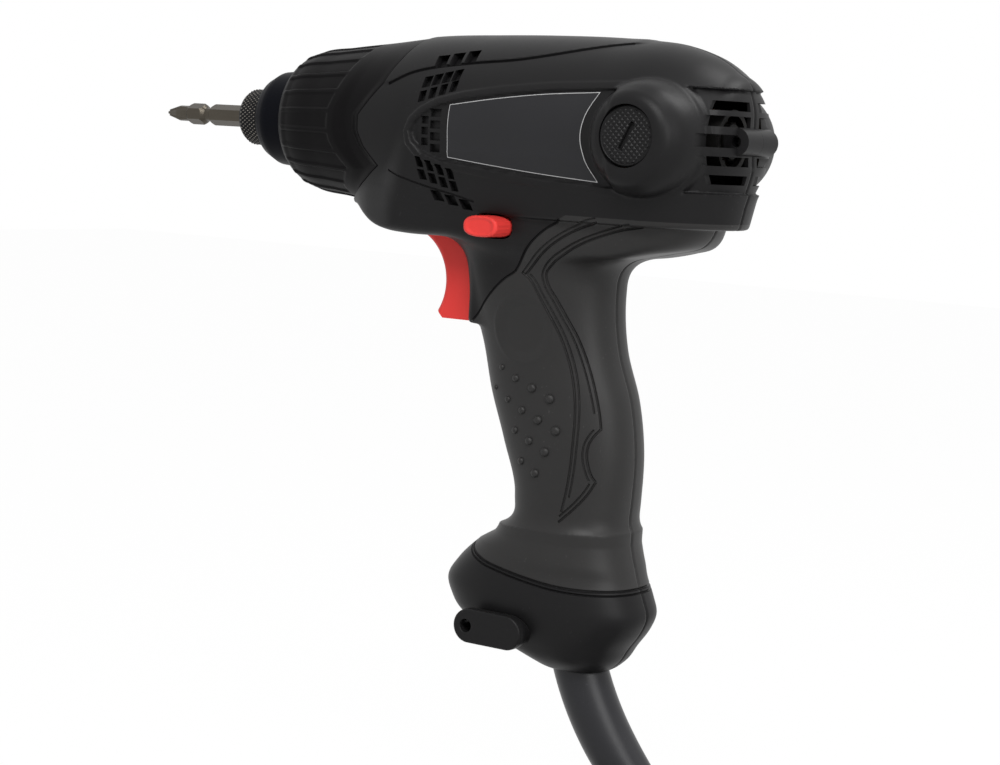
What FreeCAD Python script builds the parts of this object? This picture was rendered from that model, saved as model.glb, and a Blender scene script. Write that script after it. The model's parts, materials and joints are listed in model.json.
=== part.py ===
import FreeCAD, Part
import math
import os
import re
import Sketcher

# A corded impact screwdriver with a quick-change hex chuck, held by its pistol grip.
# The nose points along -X, the left side along -Y and the top along +Z.
# The origin is the middle of the hand grip. All lengths are millimetres.

Vector = FreeCAD.Vector
doc = FreeCAD.newDocument("ElectricScrewdriver")
dim = doc.addObject("Spreadsheet::Sheet", "Dim")

# Driving sizes: alias, value, what it is
SIZES = [
    ("axis_height", 90, "tool axis above the middle of the grip"),
    ("running_fit", 0.05, "radial clearance of a turning shaft"),
    ("seat_fit", 0.15, "clearance of a piece seated in the housing"),
    ("slide_gap", 0.35, "clearance round a sliding piece"),
    ("overrun", 5, "how far a cut runs past what it cuts"),
    # motor housing
    ("body_radius", 29.7, "largest radius of the motor housing"),
    ("body_behind", 61.2, "rear of the housing behind the grip middle"),
    ("body_ahead", 90, "front end of the housing's round part, under the boot"),
    ("shell_wall", 2.6, "wall of the housing"),
    ("skirt_behind", 61.5, "rear of the skirt at its top"),
    ("skirt_foot_behind", 57, "rear of the skirt at its lower edge"),
    ("skirt_width", 49, "width of the housing at its lower edge"),
    ("skirt_drop", 26.5, "lower edge of the housing below the tool axis"),
    ("chin_width", 43, "width of the trough under the housing"),
    ("chin_drop", 34.2, "underside of the chin below the tool axis"),
    ("chin_ahead", 88, "front of the chin"),
    ("tail_behind", 50, "rear end of the tail over the hand"),
    ("chin_round", 5, "rounding of the chin's lower edges"),
    # hand grip
    ("handle_drop", 167.5, "underside of the base below the tool axis"),
    ("grip_depth", 50, "grip, front to back"),
    ("grip_width", 33, "grip, side to side"),
    ("grip_skin", 1.4, "soft overmould on the grip"),
    ("base_length", 74, "base, front to back"),
    ("base_width", 42, "base, side to side"),
    # brush gear
    ("brush_behind", 36, "brush axis behind the grip middle"),
    ("brush_boss_radius", 17.8, "foot of the brush boss"),
    ("brush_boss_top_radius", 11.5, "top of the brush boss"),
    ("brush_boss_reach", 35, "top of the brush boss from the middle plane"),
    ("brush_cap_radius", 9.1, "brush cap"),
    ("brush_cap_depth", 3.6, "head of the brush cap"),
    ("cap_recess", 0.7, "brush cap below the rim of its boss"),
    ("cap_slot_width", 1.4, "coin slot in the brush cap"),
    ("holder_radius", 6.3, "brush holder"),
    ("holder_inner_end", 13.5, "inner end of the brush holder from the axis"),
    ("brush_width", 5, "carbon brush along the shaft"),
    ("brush_height", 8, "carbon brush across the shaft"),
    ("brush_length", 10, "carbon brush"),
    ("brush_wire", 0.7, "wire of the brush spring"),
    ("brush_spring_radius", 1.9, "brush spring, middle of the wire"),
    # vents and rear boss
    ("rear_slot_height", 3.5, "rear air slot"),
    ("rear_slot_depth", 8, "reach of the rear slots into the housing"),
    ("rear_boss_radius", 4.2, "screw boss on the rear"),
    ("rear_boss_half", 9.5, "half length of the rear screw boss"),
    # trigger and reverse lever
    ("trigger_width", 18, "trigger"),
    ("trigger_ahead", 52.5, "upper lip of the trigger"),
    ("trigger_waist_ahead", 44, "finger hollow of the trigger"),
    ("trigger_foot_ahead", 46, "lower lip of the trigger"),
    ("trigger_back_ahead", 25, "back of the trigger"),
    ("trigger_top_drop", 34.7, "top of the trigger below the axis"),
    ("trigger_foot_drop", 61, "foot of the trigger below the axis"),
    ("trigger_travel", 6, "travel of the trigger"),
    ("plunger_radius", 3, "plunger of the trigger"),
    ("plunger_length", 16, "plunger of the trigger"),
    ("trigger_spring_radius", 4.6, "trigger spring, middle of the wire"),
    ("trigger_wire", 0.8, "wire of the trigger spring"),
    ("switch_length", 31, "switch"),
    ("switch_width", 20, "switch"),
    ("switch_height", 23, "switch"),
    ("lever_ahead", 16, "middle of the reverse lever"),
    ("lever_drop", 29.7, "middle of the reverse lever below the axis"),
    ("lever_length", 12.6, "reverse lever along the tool"),
    ("lever_height", 6.6, "reverse lever"),
    ("lever_left", 31, "left end of the reverse lever"),
    ("lever_right", 23.5, "right end of the reverse lever"),
    # strap lug on the base
    ("lug_length", 25, "strap lug"),
    ("lug_height", 10.8, "strap lug"),
    ("lug_thick", 4, "strap lug plate"),
    ("lug_hole_radius", 2.05, "hole for the wrist strap"),
    ("lug_front_ahead", 21.5, "front of the strap lug"),
    ("lug_drop", 155, "middle of the strap lug below the axis"),
    ("lug_side", 26, "outer face of the strap lug from the middle plane"),
    ("lug_stem_inner", 15, "inner end of the strap lug's stem from the middle plane"),
    # gear case and nose
    ("plate_ahead", 52, "front face of the gear plate"),
    ("plate_thick", 4, "gear plate"),
    ("plate_hub_length", 13, "hub of the gear plate"),
    ("plate_hub_radius", 13.6, "hub of the gear plate"),
    ("case_rear_radius", 25.1, "rear of the hammer case"),
    ("case_radius", 21.5, "hammer case round the hammer"),
    ("case_wall", 2.5, "wall of the hammer case"),
    ("case_neck_radius", 13.2, "neck of the hammer case"),
    ("case_shoulder_ahead", 96, "shoulder of the hammer case"),
    ("bush_radius", 11, "outside of the anvil bush"),
    ("bush_length", 16, "anvil bush"),
    ("nose_ring_radius", 16.4, "nose ring at its rear"),
    ("nose_ring_lip", 9.5, "nose ring ahead of the hammer case"),
    ("nose_ring_skirt", 5.2, "nose ring over the hammer case's neck"),
    ("boot_radius", 16.9, "front edge of the boot"),
    ("boot_gap", 1.4, "gap between nose ring and boot"),
    ("rib_height", 0.55, "ridge on the boot"),
    ("rib_width", 1.1, "ridge on the boot"),
    # planet gear
    ("gear_module", 0.75, "module of the gears"),
    ("gear_backlash", 0.12, "backlash of the gears"),
    ("ring_gear_width", 9, "ring gear"),
    ("ring_gear_radius", 22.9, "outside of the ring gear"),
    ("carrier_radius", 17, "planet carrier"),
    ("carrier_back_plate", 2.5, "rear plate of the carrier"),
    ("carrier_front_plate", 3, "front plate of the carrier"),
    ("planet_width", 5.2, "planet gear"),
    ("planet_bore", 2.5, "bore radius of a planet gear"),
    ("carrier_post_radius", 1.9, "post between the carrier plates"),
    ("carrier_hub_radius", 9.6, "rear hub of the carrier"),
    ("carrier_hub_length", 4.5, "rear hub of the carrier"),
    ("spindle_bush_radius", 11.6, "outside of the spindle bush"),
    ("end_gap", 0.4, "axial running gap"),
    # hammer and anvil
    ("spindle_radius", 9, "hammer spindle"),
    ("pilot_radius", 4, "pilot of the spindle in the anvil"),
    ("pilot_length", 7, "pilot of the spindle in the anvil"),
    ("hammer_radius", 18.3, "hammer"),
    ("hammer_length", 18, "hammer"),
    ("hammer_travel", 5, "stroke of the hammer"),
    ("dog_length", 4.2, "hammer dogs"),
    ("dog_inner_radius", 10, "inside of the hammer dogs"),
    ("spring_seat_inner", 10.6, "inside of the spring seat in the hammer"),
    ("spring_seat_outer", 16.6, "outside of the spring seat in the hammer"),
    ("spring_seat_depth", 12, "depth of the spring seat in the hammer"),
    ("hammer_spring_radius", 13.4, "hammer spring, middle of the wire"),
    ("hammer_wire", 2.2, "wire of the hammer spring"),
    ("washer_thick", 1, "spring washer"),
    ("cam_ball_radius", 2.4, "cam ball"),
    ("arm_thick", 7, "anvil arms along the axis"),
    ("arm_width", 10, "anvil arms across"),
    ("arm_radius", 17.2, "reach of the anvil arms"),
    ("anvil_hub_radius", 9.4, "hub of the anvil arms"),
    ("anvil_radius", 8, "anvil in its bush"),
    ("chuck_radius", 6.9, "anvil under the chuck sleeve"),
    ("chuck_length", 17.5, "anvil under the chuck sleeve"),
    ("socket_depth", 25.4, "hex socket"),
    ("hex_fit", 0.1, "play of the bit in its socket, across flats"),
    # chuck and bit
    ("sleeve_radius", 9.5, "chuck sleeve"),
    ("sleeve_length", 16.6, "chuck sleeve"),
    ("sleeve_lead", 0.6, "chuck sleeve ahead of the anvil"),
    ("sleeve_chamber", 8.35, "spring chamber and ball recess in the sleeve"),
    ("sleeve_land", 2.7, "land in the sleeve that holds the balls"),
    ("sleeve_spring_wire", 0.5, "wire of the sleeve spring"),
    ("retaining_thick", 0.8, "retaining ring of the sleeve"),
    ("lock_ball_radius", 2.1, "lock ball"),
    ("bit_flats", 6.35, "driver bit across flats"),
    ("bit_length", 65, "double-ended driver bit"),
    ("bit_tip_length", 9.6, "cross tip of the bit"),
    ("bit_tip_radius", 1.1, "blunt end of the cross tip"),
    ("bit_neck_radius", 2.3, "groove of the bit"),
    ("bit_neck_width", 2.2, "groove of the bit"),
    ("bit_neck_from_end", 18.5, "groove from the end of the bit"),
    ("flute_width", 1.5, "flute of the cross tip"),
    # motor
    ("shaft_radius", 3.5, "armature shaft in its bearings"),
    ("core_shaft_radius", 4.6, "armature shaft in the core"),
    ("core_behind_plate", 28, "armature core behind the gear plate"),
    ("core_length", 36, "armature core"),
    ("core_radius", 15, "armature core"),
    ("air_gap", 0.4, "gap between armature and field"),
    ("core_slot_radius", 1.8, "winding slot in the armature core"),
    ("core_slot_circle", 11.6, "winding slots from the axis"),
    ("field_radius", 25.4, "field core"),
    ("field_slot_outer", 21.2, "outside of the field coil slots"),
    ("coil_end", 6, "field coil beyond the core"),
    ("winding_end", 5.5, "armature winding beyond the core"),
    ("winding_radius", 13.9, "end of the armature winding"),
    ("commutator_radius", 10, "commutator"),
    ("commutator_length", 20, "commutator"),
    ("bar_slot_width", 0.5, "gap between commutator bars"),
    ("fan_radius", 24, "fan"),
    ("fan_width", 6, "fan"),
    ("fan_plate", 1.4, "back plate of the fan"),
    ("fan_blade", 1.2, "fan blade"),
    ("bearing_radius", 9.5, "outside of the ball bearings"),
    ("bearing_width", 6, "ball bearings"),
    ("bearing_race", 1.6, "race of the ball bearings"),
    ("rear_bearing_behind", 47, "front face of the rear bearing"),
    # fasteners
    ("screw_radius", 1.5, "housing screw"),
    ("screw_head_radius", 3, "head of the housing screw"),
    ("screw_head_height", 2.2, "head of the housing screw"),
    ("screw_boss_radius", 3.8, "screw boss in the housing"),
    # nameplate
    ("plate_label_thick", 0.5, "nameplate"),
    # cord
    ("cord_diameter", 7, "mains lead"),
    ("guard_radius", 8.6, "cord guard where it leaves the base"),
    ("guard_length", 58, "cord guard outside the base"),
    ("guard_flange_radius", 11, "flange of the cord guard inside the base"),
    ("guard_flange_thick", 3, "flange of the cord guard"),
    ("guard_inner_length", 11, "cord guard inside the base"),
    ("guard_inner_radius", 5.5, "cord guard inside the base"),
    ("guard_exit_behind", 10.6, "cord guard behind the grip middle"),
    ("clamp_width", 27, "cord clamp"),
    ("clamp_height", 7, "cord clamp"),
    ("clamp_thick", 4, "cord clamp"),
    ("cord_run", 24, "straight run of the free lead"),
    ("coil_step", 7.6, "turns of the coil, middle to middle"),
    ("coil_inner_radius", 28.7, "inmost turn of the coil, middle of the cord"),
    ("tie_wall", 1.2, "cord tie"),
    ("tie_width", 9, "cord tie"),
    ("tie_gap", 0.4, "room between tie and cord"),
    ("plug_length", 38, "plug body"),
    ("plug_radius", 10.8, "plug body at its face"),
    ("plug_flat_width", 36, "plug body across its pins"),
    ("pin_radius", 2.4, "plug pin"),
    ("pin_length", 19, "plug pin"),
    ("pin_spacing", 19, "plug pins, middle to middle"),
    ("pin_root", 6, "plug pin inside the plug body"),
    ("pin_root_radius", 1.9, "plug pin inside the plug body"),
]
ALIASES = {alias for alias, value, note in SIZES}
for row, (alias, value, note) in enumerate(SIZES, 1):
    dim.set(f"A{row}", note)
    dim.set(f"B{row}", str(value))
    dim.setAlias(f"B{row}", alias)
doc.recompute()

# Tooth counts, loop counts and other plain counts
SUN_TEETH = 8
PLANET_TEETH = 22
RING_TEETH = 52
PLANETS = 3
PRESSURE_ANGLE = math.radians(25)
ADDENDUM_SHARE = 0.7
DEDENDUM_SHARE = 1.0
RIBS = 24
ARMATURE_SLOTS = 12
COMMUTATOR_BARS = 24
FAN_BLADES = 12
BEARING_BALLS = 7


def bound(text):
    """Turn size names in a formula into references to the sheet."""
    return re.sub(r"[a-z][a-z0-9_]*",
                  lambda word: "Dim." + word.group() if word.group() in ALIASES else word.group(), text)


def number(text):
    """Value of a formula over the sheet."""
    return float(dim.evalExpression(bound(text)))


# Stations along the tool axis, as formulas
PLATE_FRONT = "(-plate_ahead)"
RING_FRONT = f"({PLATE_FRONT} - ring_gear_width)"
CARRIER_BACK = f"({PLATE_FRONT} - end_gap)"
PLANET_BACK = f"({CARRIER_BACK} - carrier_back_plate - end_gap)"
PLANET_FRONT = f"({PLANET_BACK} - planet_width)"
CARRIER_FRONT = f"({PLANET_FRONT} - end_gap - carrier_front_plate)"
WASHER_FRONT = f"({CARRIER_FRONT} - washer_thick)"
HAMMER_BACK = f"({WASHER_FRONT} - hammer_travel - 4 * end_gap)"
HAMMER_FRONT = f"({HAMMER_BACK} - hammer_length)"
ARM_BACK = f"({HAMMER_FRONT} - end_gap)"
ARM_FRONT = f"({ARM_BACK} - arm_thick)"
BUSH_BACK = f"({ARM_FRONT} - end_gap)"
CASE_FRONT = f"({BUSH_BACK} - bush_length)"
CHUCK_BACK = f"({CASE_FRONT} - end_gap)"
ANVIL_FRONT = f"({CHUCK_BACK} - chuck_length - end_gap)"
BIT_BACK = f"({ANVIL_FRONT} + socket_depth)"
LOCK_BALL = f"({BIT_BACK} - bit_neck_from_end)"
SLEEVE_FRONT = f"({ANVIL_FRONT} - sleeve_lead)"
SLEEVE_BACK = f"({SLEEVE_FRONT} + sleeve_length)"
RETAINING_FRONT = f"({ANVIL_FRONT} + end_gap)"
LAND_FRONT = f"({LOCK_BALL} - sleeve_land / 2)"
LAND_BACK = f"({LOCK_BALL} + sleeve_land / 2)"
NOSE_FRONT = f"({CASE_FRONT} - nose_ring_lip)"
NOSE_BACK = f"({CASE_FRONT} + nose_ring_skirt)"
BOOT_FRONT = f"({NOSE_BACK} + boot_gap)"
HUB_BACK = f"({PLATE_FRONT} + plate_hub_length)"
FAN_FRONT = f"({HUB_BACK} + 4 * end_gap)"
CORE_FRONT = f"({PLATE_FRONT} + core_behind_plate)"
CORE_BACK = f"({CORE_FRONT} + core_length)"
COMMUTATOR_FRONT = "(brush_behind - commutator_length * 0.6)"
COMMUTATOR_BACK = f"({COMMUTATOR_FRONT} + commutator_length)"
SHAFT_BACK = "(rear_bearing_behind + bearing_width + end_gap)"

pieces = []


def keep(label, item):
    """Name a finished sub-part."""
    item.Label = label
    pieces.append(item)
    return item


def on_axis(item):
    """Lift a piece that is drawn about X onto the tool axis."""
    item.setExpression("Placement.Base.z", bound("axis_height"))
    return item


def draw(sketch, outline):
    """Closed outline of straight edges; each corner is bound to its two formulas."""
    corners = [Vector(number(across), number(up), 0) for across, up in outline]
    count = len(corners)
    for index, corner in enumerate(corners):
        sketch.addGeometry(Part.LineSegment(corner, corners[(index + 1) % count]), False)
    for index in range(count):
        sketch.addConstraint(Sketcher.Constraint("Coincident", index, 2, (index + 1) % count, 1))
    for index, formulas in enumerate(outline):
        for kind, text in zip(("DistanceX", "DistanceY"), formulas):
            if text == "0":
                sketch.addConstraint(Sketcher.Constraint("PointOnObject", index, 1,
                                                         -1 if kind == "DistanceY" else -2))
                continue
            place = sketch.addConstraint(Sketcher.Constraint(kind, -1, 1, index, 1, number(text)))
            sketch.setExpression(f"Constraints[{place}]", bound(text))


def sketch_on(body, name, role, outline):
    """A sketch on one of the body's own origin planes."""
    sketch = body.newObject("Sketcher::SketchObject", name)
    plane = next(item for item in body.Origin.OriginFeatures if item.Role == role)
    sketch.AttachmentSupport = [(plane, "")]
    sketch.MapMode = "FlatFace"
    draw(sketch, outline)
    return sketch


def turned(name, outline):
    """A body turned about the tool axis; outline corners are (along, radius)."""
    body = doc.addObject("PartDesign::Body", name)
    sketch = sketch_on(body, name + "_outline", "XY_Plane", outline)
    turn = body.newObject("PartDesign::Revolution", name + "_turn")
    turn.Profile = sketch
    turn.ReferenceAxis = (sketch, ["H_Axis"])
    turn.Angle = 360
    return on_axis(body)


TURNS = {
    "x": FreeCAD.Rotation(Vector(0, 1, 0), 90),
    "y": FreeCAD.Rotation(Vector(1, 0, 0), -90),
    "z": FreeCAD.Rotation(),
}


def put(item, place):
    """Bind the place of a primitive."""
    for letter, text in zip("xyz", place):
        if text != "0":
            item.setExpression("Placement.Base." + letter, bound(text))
    return item


def rod(name, radius, length, place, axis="x"):
    """A cylinder that starts at place and runs along the axis."""
    item = doc.addObject("Part::Cylinder", name)
    item.Placement = FreeCAD.Placement(Vector(), TURNS[axis])
    item.setExpression("Radius", bound(radius))
    item.setExpression("Height", bound(length))
    return put(item, place)


def block(name, spans, place):
    """A box from its lowest corner."""
    item = doc.addObject("Part::Box", name)
    for side, text in zip(("Length", "Width", "Height"), spans):
        item.setExpression(side, bound(text))
    return put(item, place)


def cut(name, base, *tools):
    """The base with the tools taken out of it."""
    item = doc.addObject("Part::Cut", name)
    item.Base = base
    item.Tool = tools[0] if len(tools) == 1 else joined(name + "_tools", *tools)
    return item


def joined(name, *parts):
    """Several solids as one."""
    item = doc.addObject("Part::MultiFuse", name)
    item.Shapes = list(parts)
    return item


def feature(label, shape):
    """A piece whose shape is worked out here from the sheet."""
    item = doc.addObject("Part::Feature", label)
    item.Shape = shape
    raised = FreeCAD.Placement(Vector(0, 0, number("axis_height")), FreeCAD.Rotation())
    item.Placement = raised.multiply(shape.Placement)
    return keep(label, item)


def around(shape, degrees):
    """A copy turned about the tool axis."""
    twin = shape.copy()
    twin.rotate(Vector(), Vector(1, 0, 0), degrees)
    return twin


def disc(radius, start, end):
    """Cylinder about the tool axis between two stations."""
    return Part.makeCylinder(radius, end - start, Vector(start, 0, 0), Vector(1, 0, 0))


def sector(inner, outer, first, last, start, end):
    """Slice of a tube about the tool axis, between two angles in degrees from +Y towards +Z."""
    pie = Part.makeCylinder(outer, end - start, Vector(start, 0, 0), Vector(1, 0, 0), last - first)
    probe = math.degrees(math.atan2(pie.CenterOfMass.z, pie.CenterOfMass.y))
    return around(pie.cut(disc(inner, start, end)), (first + last) / 2 - probe)


def lathe(outline):
    """Solid turned about the tool axis from a list of edges' points and arcs."""
    wire = Part.Wire(outline)
    return Part.Face(wire).revolve(Vector(), Vector(1, 0, 0), 360)


def runs(points):
    """Straight edges through a list of points."""
    return [Part.LineSegment(first, last).toShape() for first, last in zip(points, points[1:])]


def prism(corners, low, high):
    """Side-view outline in X and Z carried across from Y = low to Y = high."""
    loop = [Vector(x, low, z) for x, z in corners]
    return Part.Face(Part.makePolygon(loop + loop[:1])).extrude(Vector(0, high - low, 0))


# Arcs and tubes

def tangent_arc(start, along, end):
    """Arc from start, leaving it in the direction along, to end."""
    chord = end - start
    side = along - chord * (along.dot(chord) / chord.dot(chord))
    if side.Length < 1e-7:
        return Part.LineSegment(start, end).toShape()
    lean = along.getAngle(chord)
    top = start + chord * 0.5 + side.normalize() * (chord.Length / 2 * math.tan(lean / 2))
    return Part.Arc(start, top, end).toShape()


def biarc(start, along, end, onward):
    """Two tangent arcs between two places with given directions."""
    reach = end - start
    both = along + onward
    bend = 2 * (1 - along.dot(onward))
    lean = reach.dot(both)
    if bend < 1e-9:
        share = reach.dot(reach) / (2 * lean)
    else:
        share = (-lean + math.sqrt(lean * lean + bend * reach.dot(reach))) / bend
    middle = (start + along * share + end - onward * share) * 0.5
    first = tangent_arc(start, along, middle)
    turned_to = first.tangentAt(first.LastParameter)
    return [first, tangent_arc(middle, turned_to, end)]


def wound(places):
    """Edges through (place, direction) pairs, joined by biarcs."""
    edges = []
    for (start, along), (end, onward) in zip(places, places[1:]):
        edges += biarc(start, along, end, onward)
    return edges


def tube(edges, radius):
    """Round tube along tangent edges."""
    path = Part.Wire(edges)
    first = edges[0]
    start = first.valueAt(first.FirstParameter)
    along = first.tangentAt(first.FirstParameter)
    ring = Part.Wire(Part.makeCircle(radius, start, along))
    solid = path.makePipeShell([ring], True, False)
    wanted = math.pi * radius * radius * path.Length
    if abs(solid.Volume - wanted) > 0.02 * wanted:
        raise ValueError(f"tube volume {solid.Volume:.1f} is not {wanted:.1f}")
    return solid


def spring(radius, wire, turns, start, end):
    """Coil spring about the tool axis, wound by quarter turns between two stations."""
    first, last = start + wire / 2, end - wire / 2
    places = []
    for quarter in range(4 * turns + 1):
        angle = math.pi / 2 * quarter
        share = quarter / (4 * turns)
        place = Vector(first + (last - first) * share, radius * math.cos(angle), radius * math.sin(angle))
        along = Vector((last - first) / (2 * math.pi * turns), -radius * math.sin(angle),
                       radius * math.cos(angle))
        places.append((place, along.normalize()))
    return tube(wound(places), wire / 2)


# Gears

def gear(teeth, tip, root, backlash, start, end, phase):
    """Involute gear about the tool axis; phase is the angle of its first tooth in degrees."""
    module = number("gear_module")
    pitch = module * teeth / 2
    base = pitch * math.cos(PRESSURE_ANGLE)

    def half_tooth(radius):
        slope = math.acos(min(1, base / radius))
        thick = (math.pi * module / 2 - backlash) / (module * teeth)
        return thick + math.tan(PRESSURE_ANGLE) - PRESSURE_ANGLE - math.tan(slope) + slope

    def spot(radius, angle):
        return Vector(start, radius * math.cos(angle), radius * math.sin(angle))

    low = max(base, root)
    radii = [low, (low + tip) / 2, tip]
    edges = []
    pitch_angle = 2 * math.pi / teeth
    for index in range(teeth):
        middle = math.radians(phase) + pitch_angle * index
        rising = [spot(radius, middle - half_tooth(radius)) for radius in radii]
        falling = [spot(radius, middle + half_tooth(radius)) for radius in reversed(radii)]
        foot = middle + half_tooth(low)
        following = middle + pitch_angle - half_tooth(low)
        if low > root:
            edges.append(Part.LineSegment(spot(root, middle - half_tooth(low)), rising[0]).toShape())
        edges.append(Part.Arc(*rising).toShape())
        edges.append(Part.Arc(rising[-1], spot(tip, middle), falling[0]).toShape())
        edges.append(Part.Arc(*falling).toShape())
        if low > root:
            edges.append(Part.LineSegment(falling[-1], spot(root, foot)).toShape())
        edges.append(Part.Arc(spot(root, foot), spot(root, (foot + following) / 2),
                              spot(root, following)).toShape())
    return Part.Face(Part.Wire(edges)).extrude(Vector(end - start, 0, 0))


module = number("gear_module")
sun_pitch = module * SUN_TEETH / 2
planet_pitch = module * PLANET_TEETH / 2
ring_pitch = module * RING_TEETH / 2
planet_circle = sun_pitch + planet_pitch
addendum = module * ADDENDUM_SHARE
dedendum = module * DEDENDUM_SHARE
backlash = number("gear_backlash")
planet_angles = [360 / PLANETS * index for index in range(PLANETS)]


def build_ring_gear():
    start, end = number(RING_FRONT), number(PLATE_FRONT)
    half_pitch = 180 / RING_TEETH
    hole = gear(RING_TEETH, ring_pitch + dedendum, ring_pitch - addendum, -backlash, start, end, half_pitch)
    feature("ring_gear", disc(number("ring_gear_radius"), start, end).cut(hole))


def build_planets():
    start, end = number(PLANET_FRONT), number(PLANET_BACK)
    for index, angle in enumerate(planet_angles, 1):
        phase = angle - (180 - SUN_TEETH * angle) / PLANET_TEETH
        wheel = gear(PLANET_TEETH, planet_pitch + addendum, planet_pitch - dedendum, backlash, start, end,
                     phase)
        wheel = wheel.cut(disc(number("planet_bore"), start, end))
        turn = math.radians(angle)
        wheel.translate(Vector(0, planet_circle * math.cos(turn), planet_circle * math.sin(turn)))
        feature(f"planet_gear_{index}", wheel)


def pins_between(radius, circle, start, end, first_angle):
    """Pins on the planet circle."""
    pins = []
    for angle in planet_angles:
        turn = math.radians(angle + first_angle)
        place = Vector(start, circle * math.cos(turn), circle * math.sin(turn))
        pins.append(Part.makeCylinder(radius, end - start, place, Vector(1, 0, 0)))
    return pins


def build_spindle():
    radius = number("carrier_radius")
    front, back = number(CARRIER_FRONT), number(CARRIER_BACK)
    front_plate_back = front + number("carrier_front_plate")
    back_plate_front = back - number("carrier_back_plate")
    hub_back = back + number("carrier_hub_length")
    sun_room = sun_pitch + addendum + number("end_gap") * 2
    shaft_front = number(HAMMER_FRONT)
    pilot_front = shaft_front - number("pilot_length")
    post_circle = radius - number("carrier_post_radius") - number("end_gap")
    posts = pins_between(number("carrier_post_radius"), post_circle, front, back, 180 / PLANETS)
    parts = [disc(radius, back_plate_front, back), disc(number("carrier_hub_radius"), back, hub_back)]
    parts += [disc(number("spindle_radius"), shaft_front, front),
              disc(number("pilot_radius"), pilot_front, shaft_front)]
    spindle = disc(radius, front, front_plate_back).multiFuse(parts + posts)
    holes = pins_between(number("planet_bore - running_fit"), planet_circle, front, back, 0)
    spindle = spindle.cut(disc(sun_room, front_plate_back, hub_back)).cut(Part.makeCompound(holes))
    cam_x = (number(HAMMER_FRONT) + number(HAMMER_BACK) - number("spring_seat_depth")) / 2
    for side in (1, -1):
        dent = Part.makeSphere(number("cam_ball_radius + running_fit"),
                               Vector(cam_x, 0, side * number("spindle_radius")))
        spindle = spindle.cut(dent)
    feature("hammer_spindle", spindle)
    pins = pins_between(number("planet_bore - running_fit"), planet_circle, front, back, 0)
    feature("planet_pins", Part.makeCompound(pins))
    balls = []
    for side in (1, -1):
        balls.append(Part.makeSphere(number("cam_ball_radius"),
                                     Vector(cam_x, 0, side * number("spindle_radius"))))
    feature("cam_balls", Part.makeCompound(balls))
    keep("spring_washer", turned("washer", [
        (WASHER_FRONT, "spindle_radius + running_fit"), (CARRIER_FRONT, "spindle_radius + running_fit"),
        (CARRIER_FRONT, "spring_seat_outer"), (WASHER_FRONT, "spring_seat_outer")]))
    return cam_x


def build_hammer(cam_x):
    front, back = number(HAMMER_FRONT), number(HAMMER_BACK)
    radius = number("hammer_radius")
    dog_front = front - number("dog_length")
    half_arm = math.degrees(math.asin(number("arm_width") / 2 / number("dog_inner_radius")))
    dog_half = (90 - half_arm) * 0.55
    hammer = disc(radius, front, back)
    for middle in (90, 270):
        dog = sector(number("dog_inner_radius"), radius - number("end_gap"), middle - dog_half,
                     middle + dog_half, dog_front, front)
        hammer = hammer.fuse(dog)
    seat_front = back - number("spring_seat_depth")
    seat = disc(number("spring_seat_outer"), seat_front, back).cut(disc(number("spring_seat_inner"),
                                                                        seat_front, back))
    hammer = hammer.cut(disc(number("spindle_radius + running_fit"), dog_front, back)).cut(seat)
    reach = number("cam_ball_radius + slide_gap")
    for side in (1, -1):
        run = number("hammer_travel")
        place = Vector(cam_x - run, 0, side * number("spindle_radius"))
        groove = Part.makeCylinder(reach, run, place, Vector(1, 0, 0))
        groove = groove.fuse([Part.makeSphere(reach, place),
                              Part.makeSphere(reach, place + Vector(run, 0, 0))])
        hammer = hammer.cut(groove)
    feature("hammer", hammer)
    wire = number("hammer_wire")
    feature("hammer_spring", spring(number("hammer_spring_radius"), wire, 4, seat_front,
                                    number(WASHER_FRONT)))


def hexagon(flats, start, end):
    """Hexagonal bar about the tool axis."""
    radius = flats / math.sqrt(3)
    corners = []
    for index in range(7):
        angle = math.radians(60 * index + 30)
        corners.append(Vector(start, radius * math.cos(angle), radius * math.sin(angle)))
    return Part.Face(Part.makePolygon(corners)).extrude(Vector(end - start, 0, 0))


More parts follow.
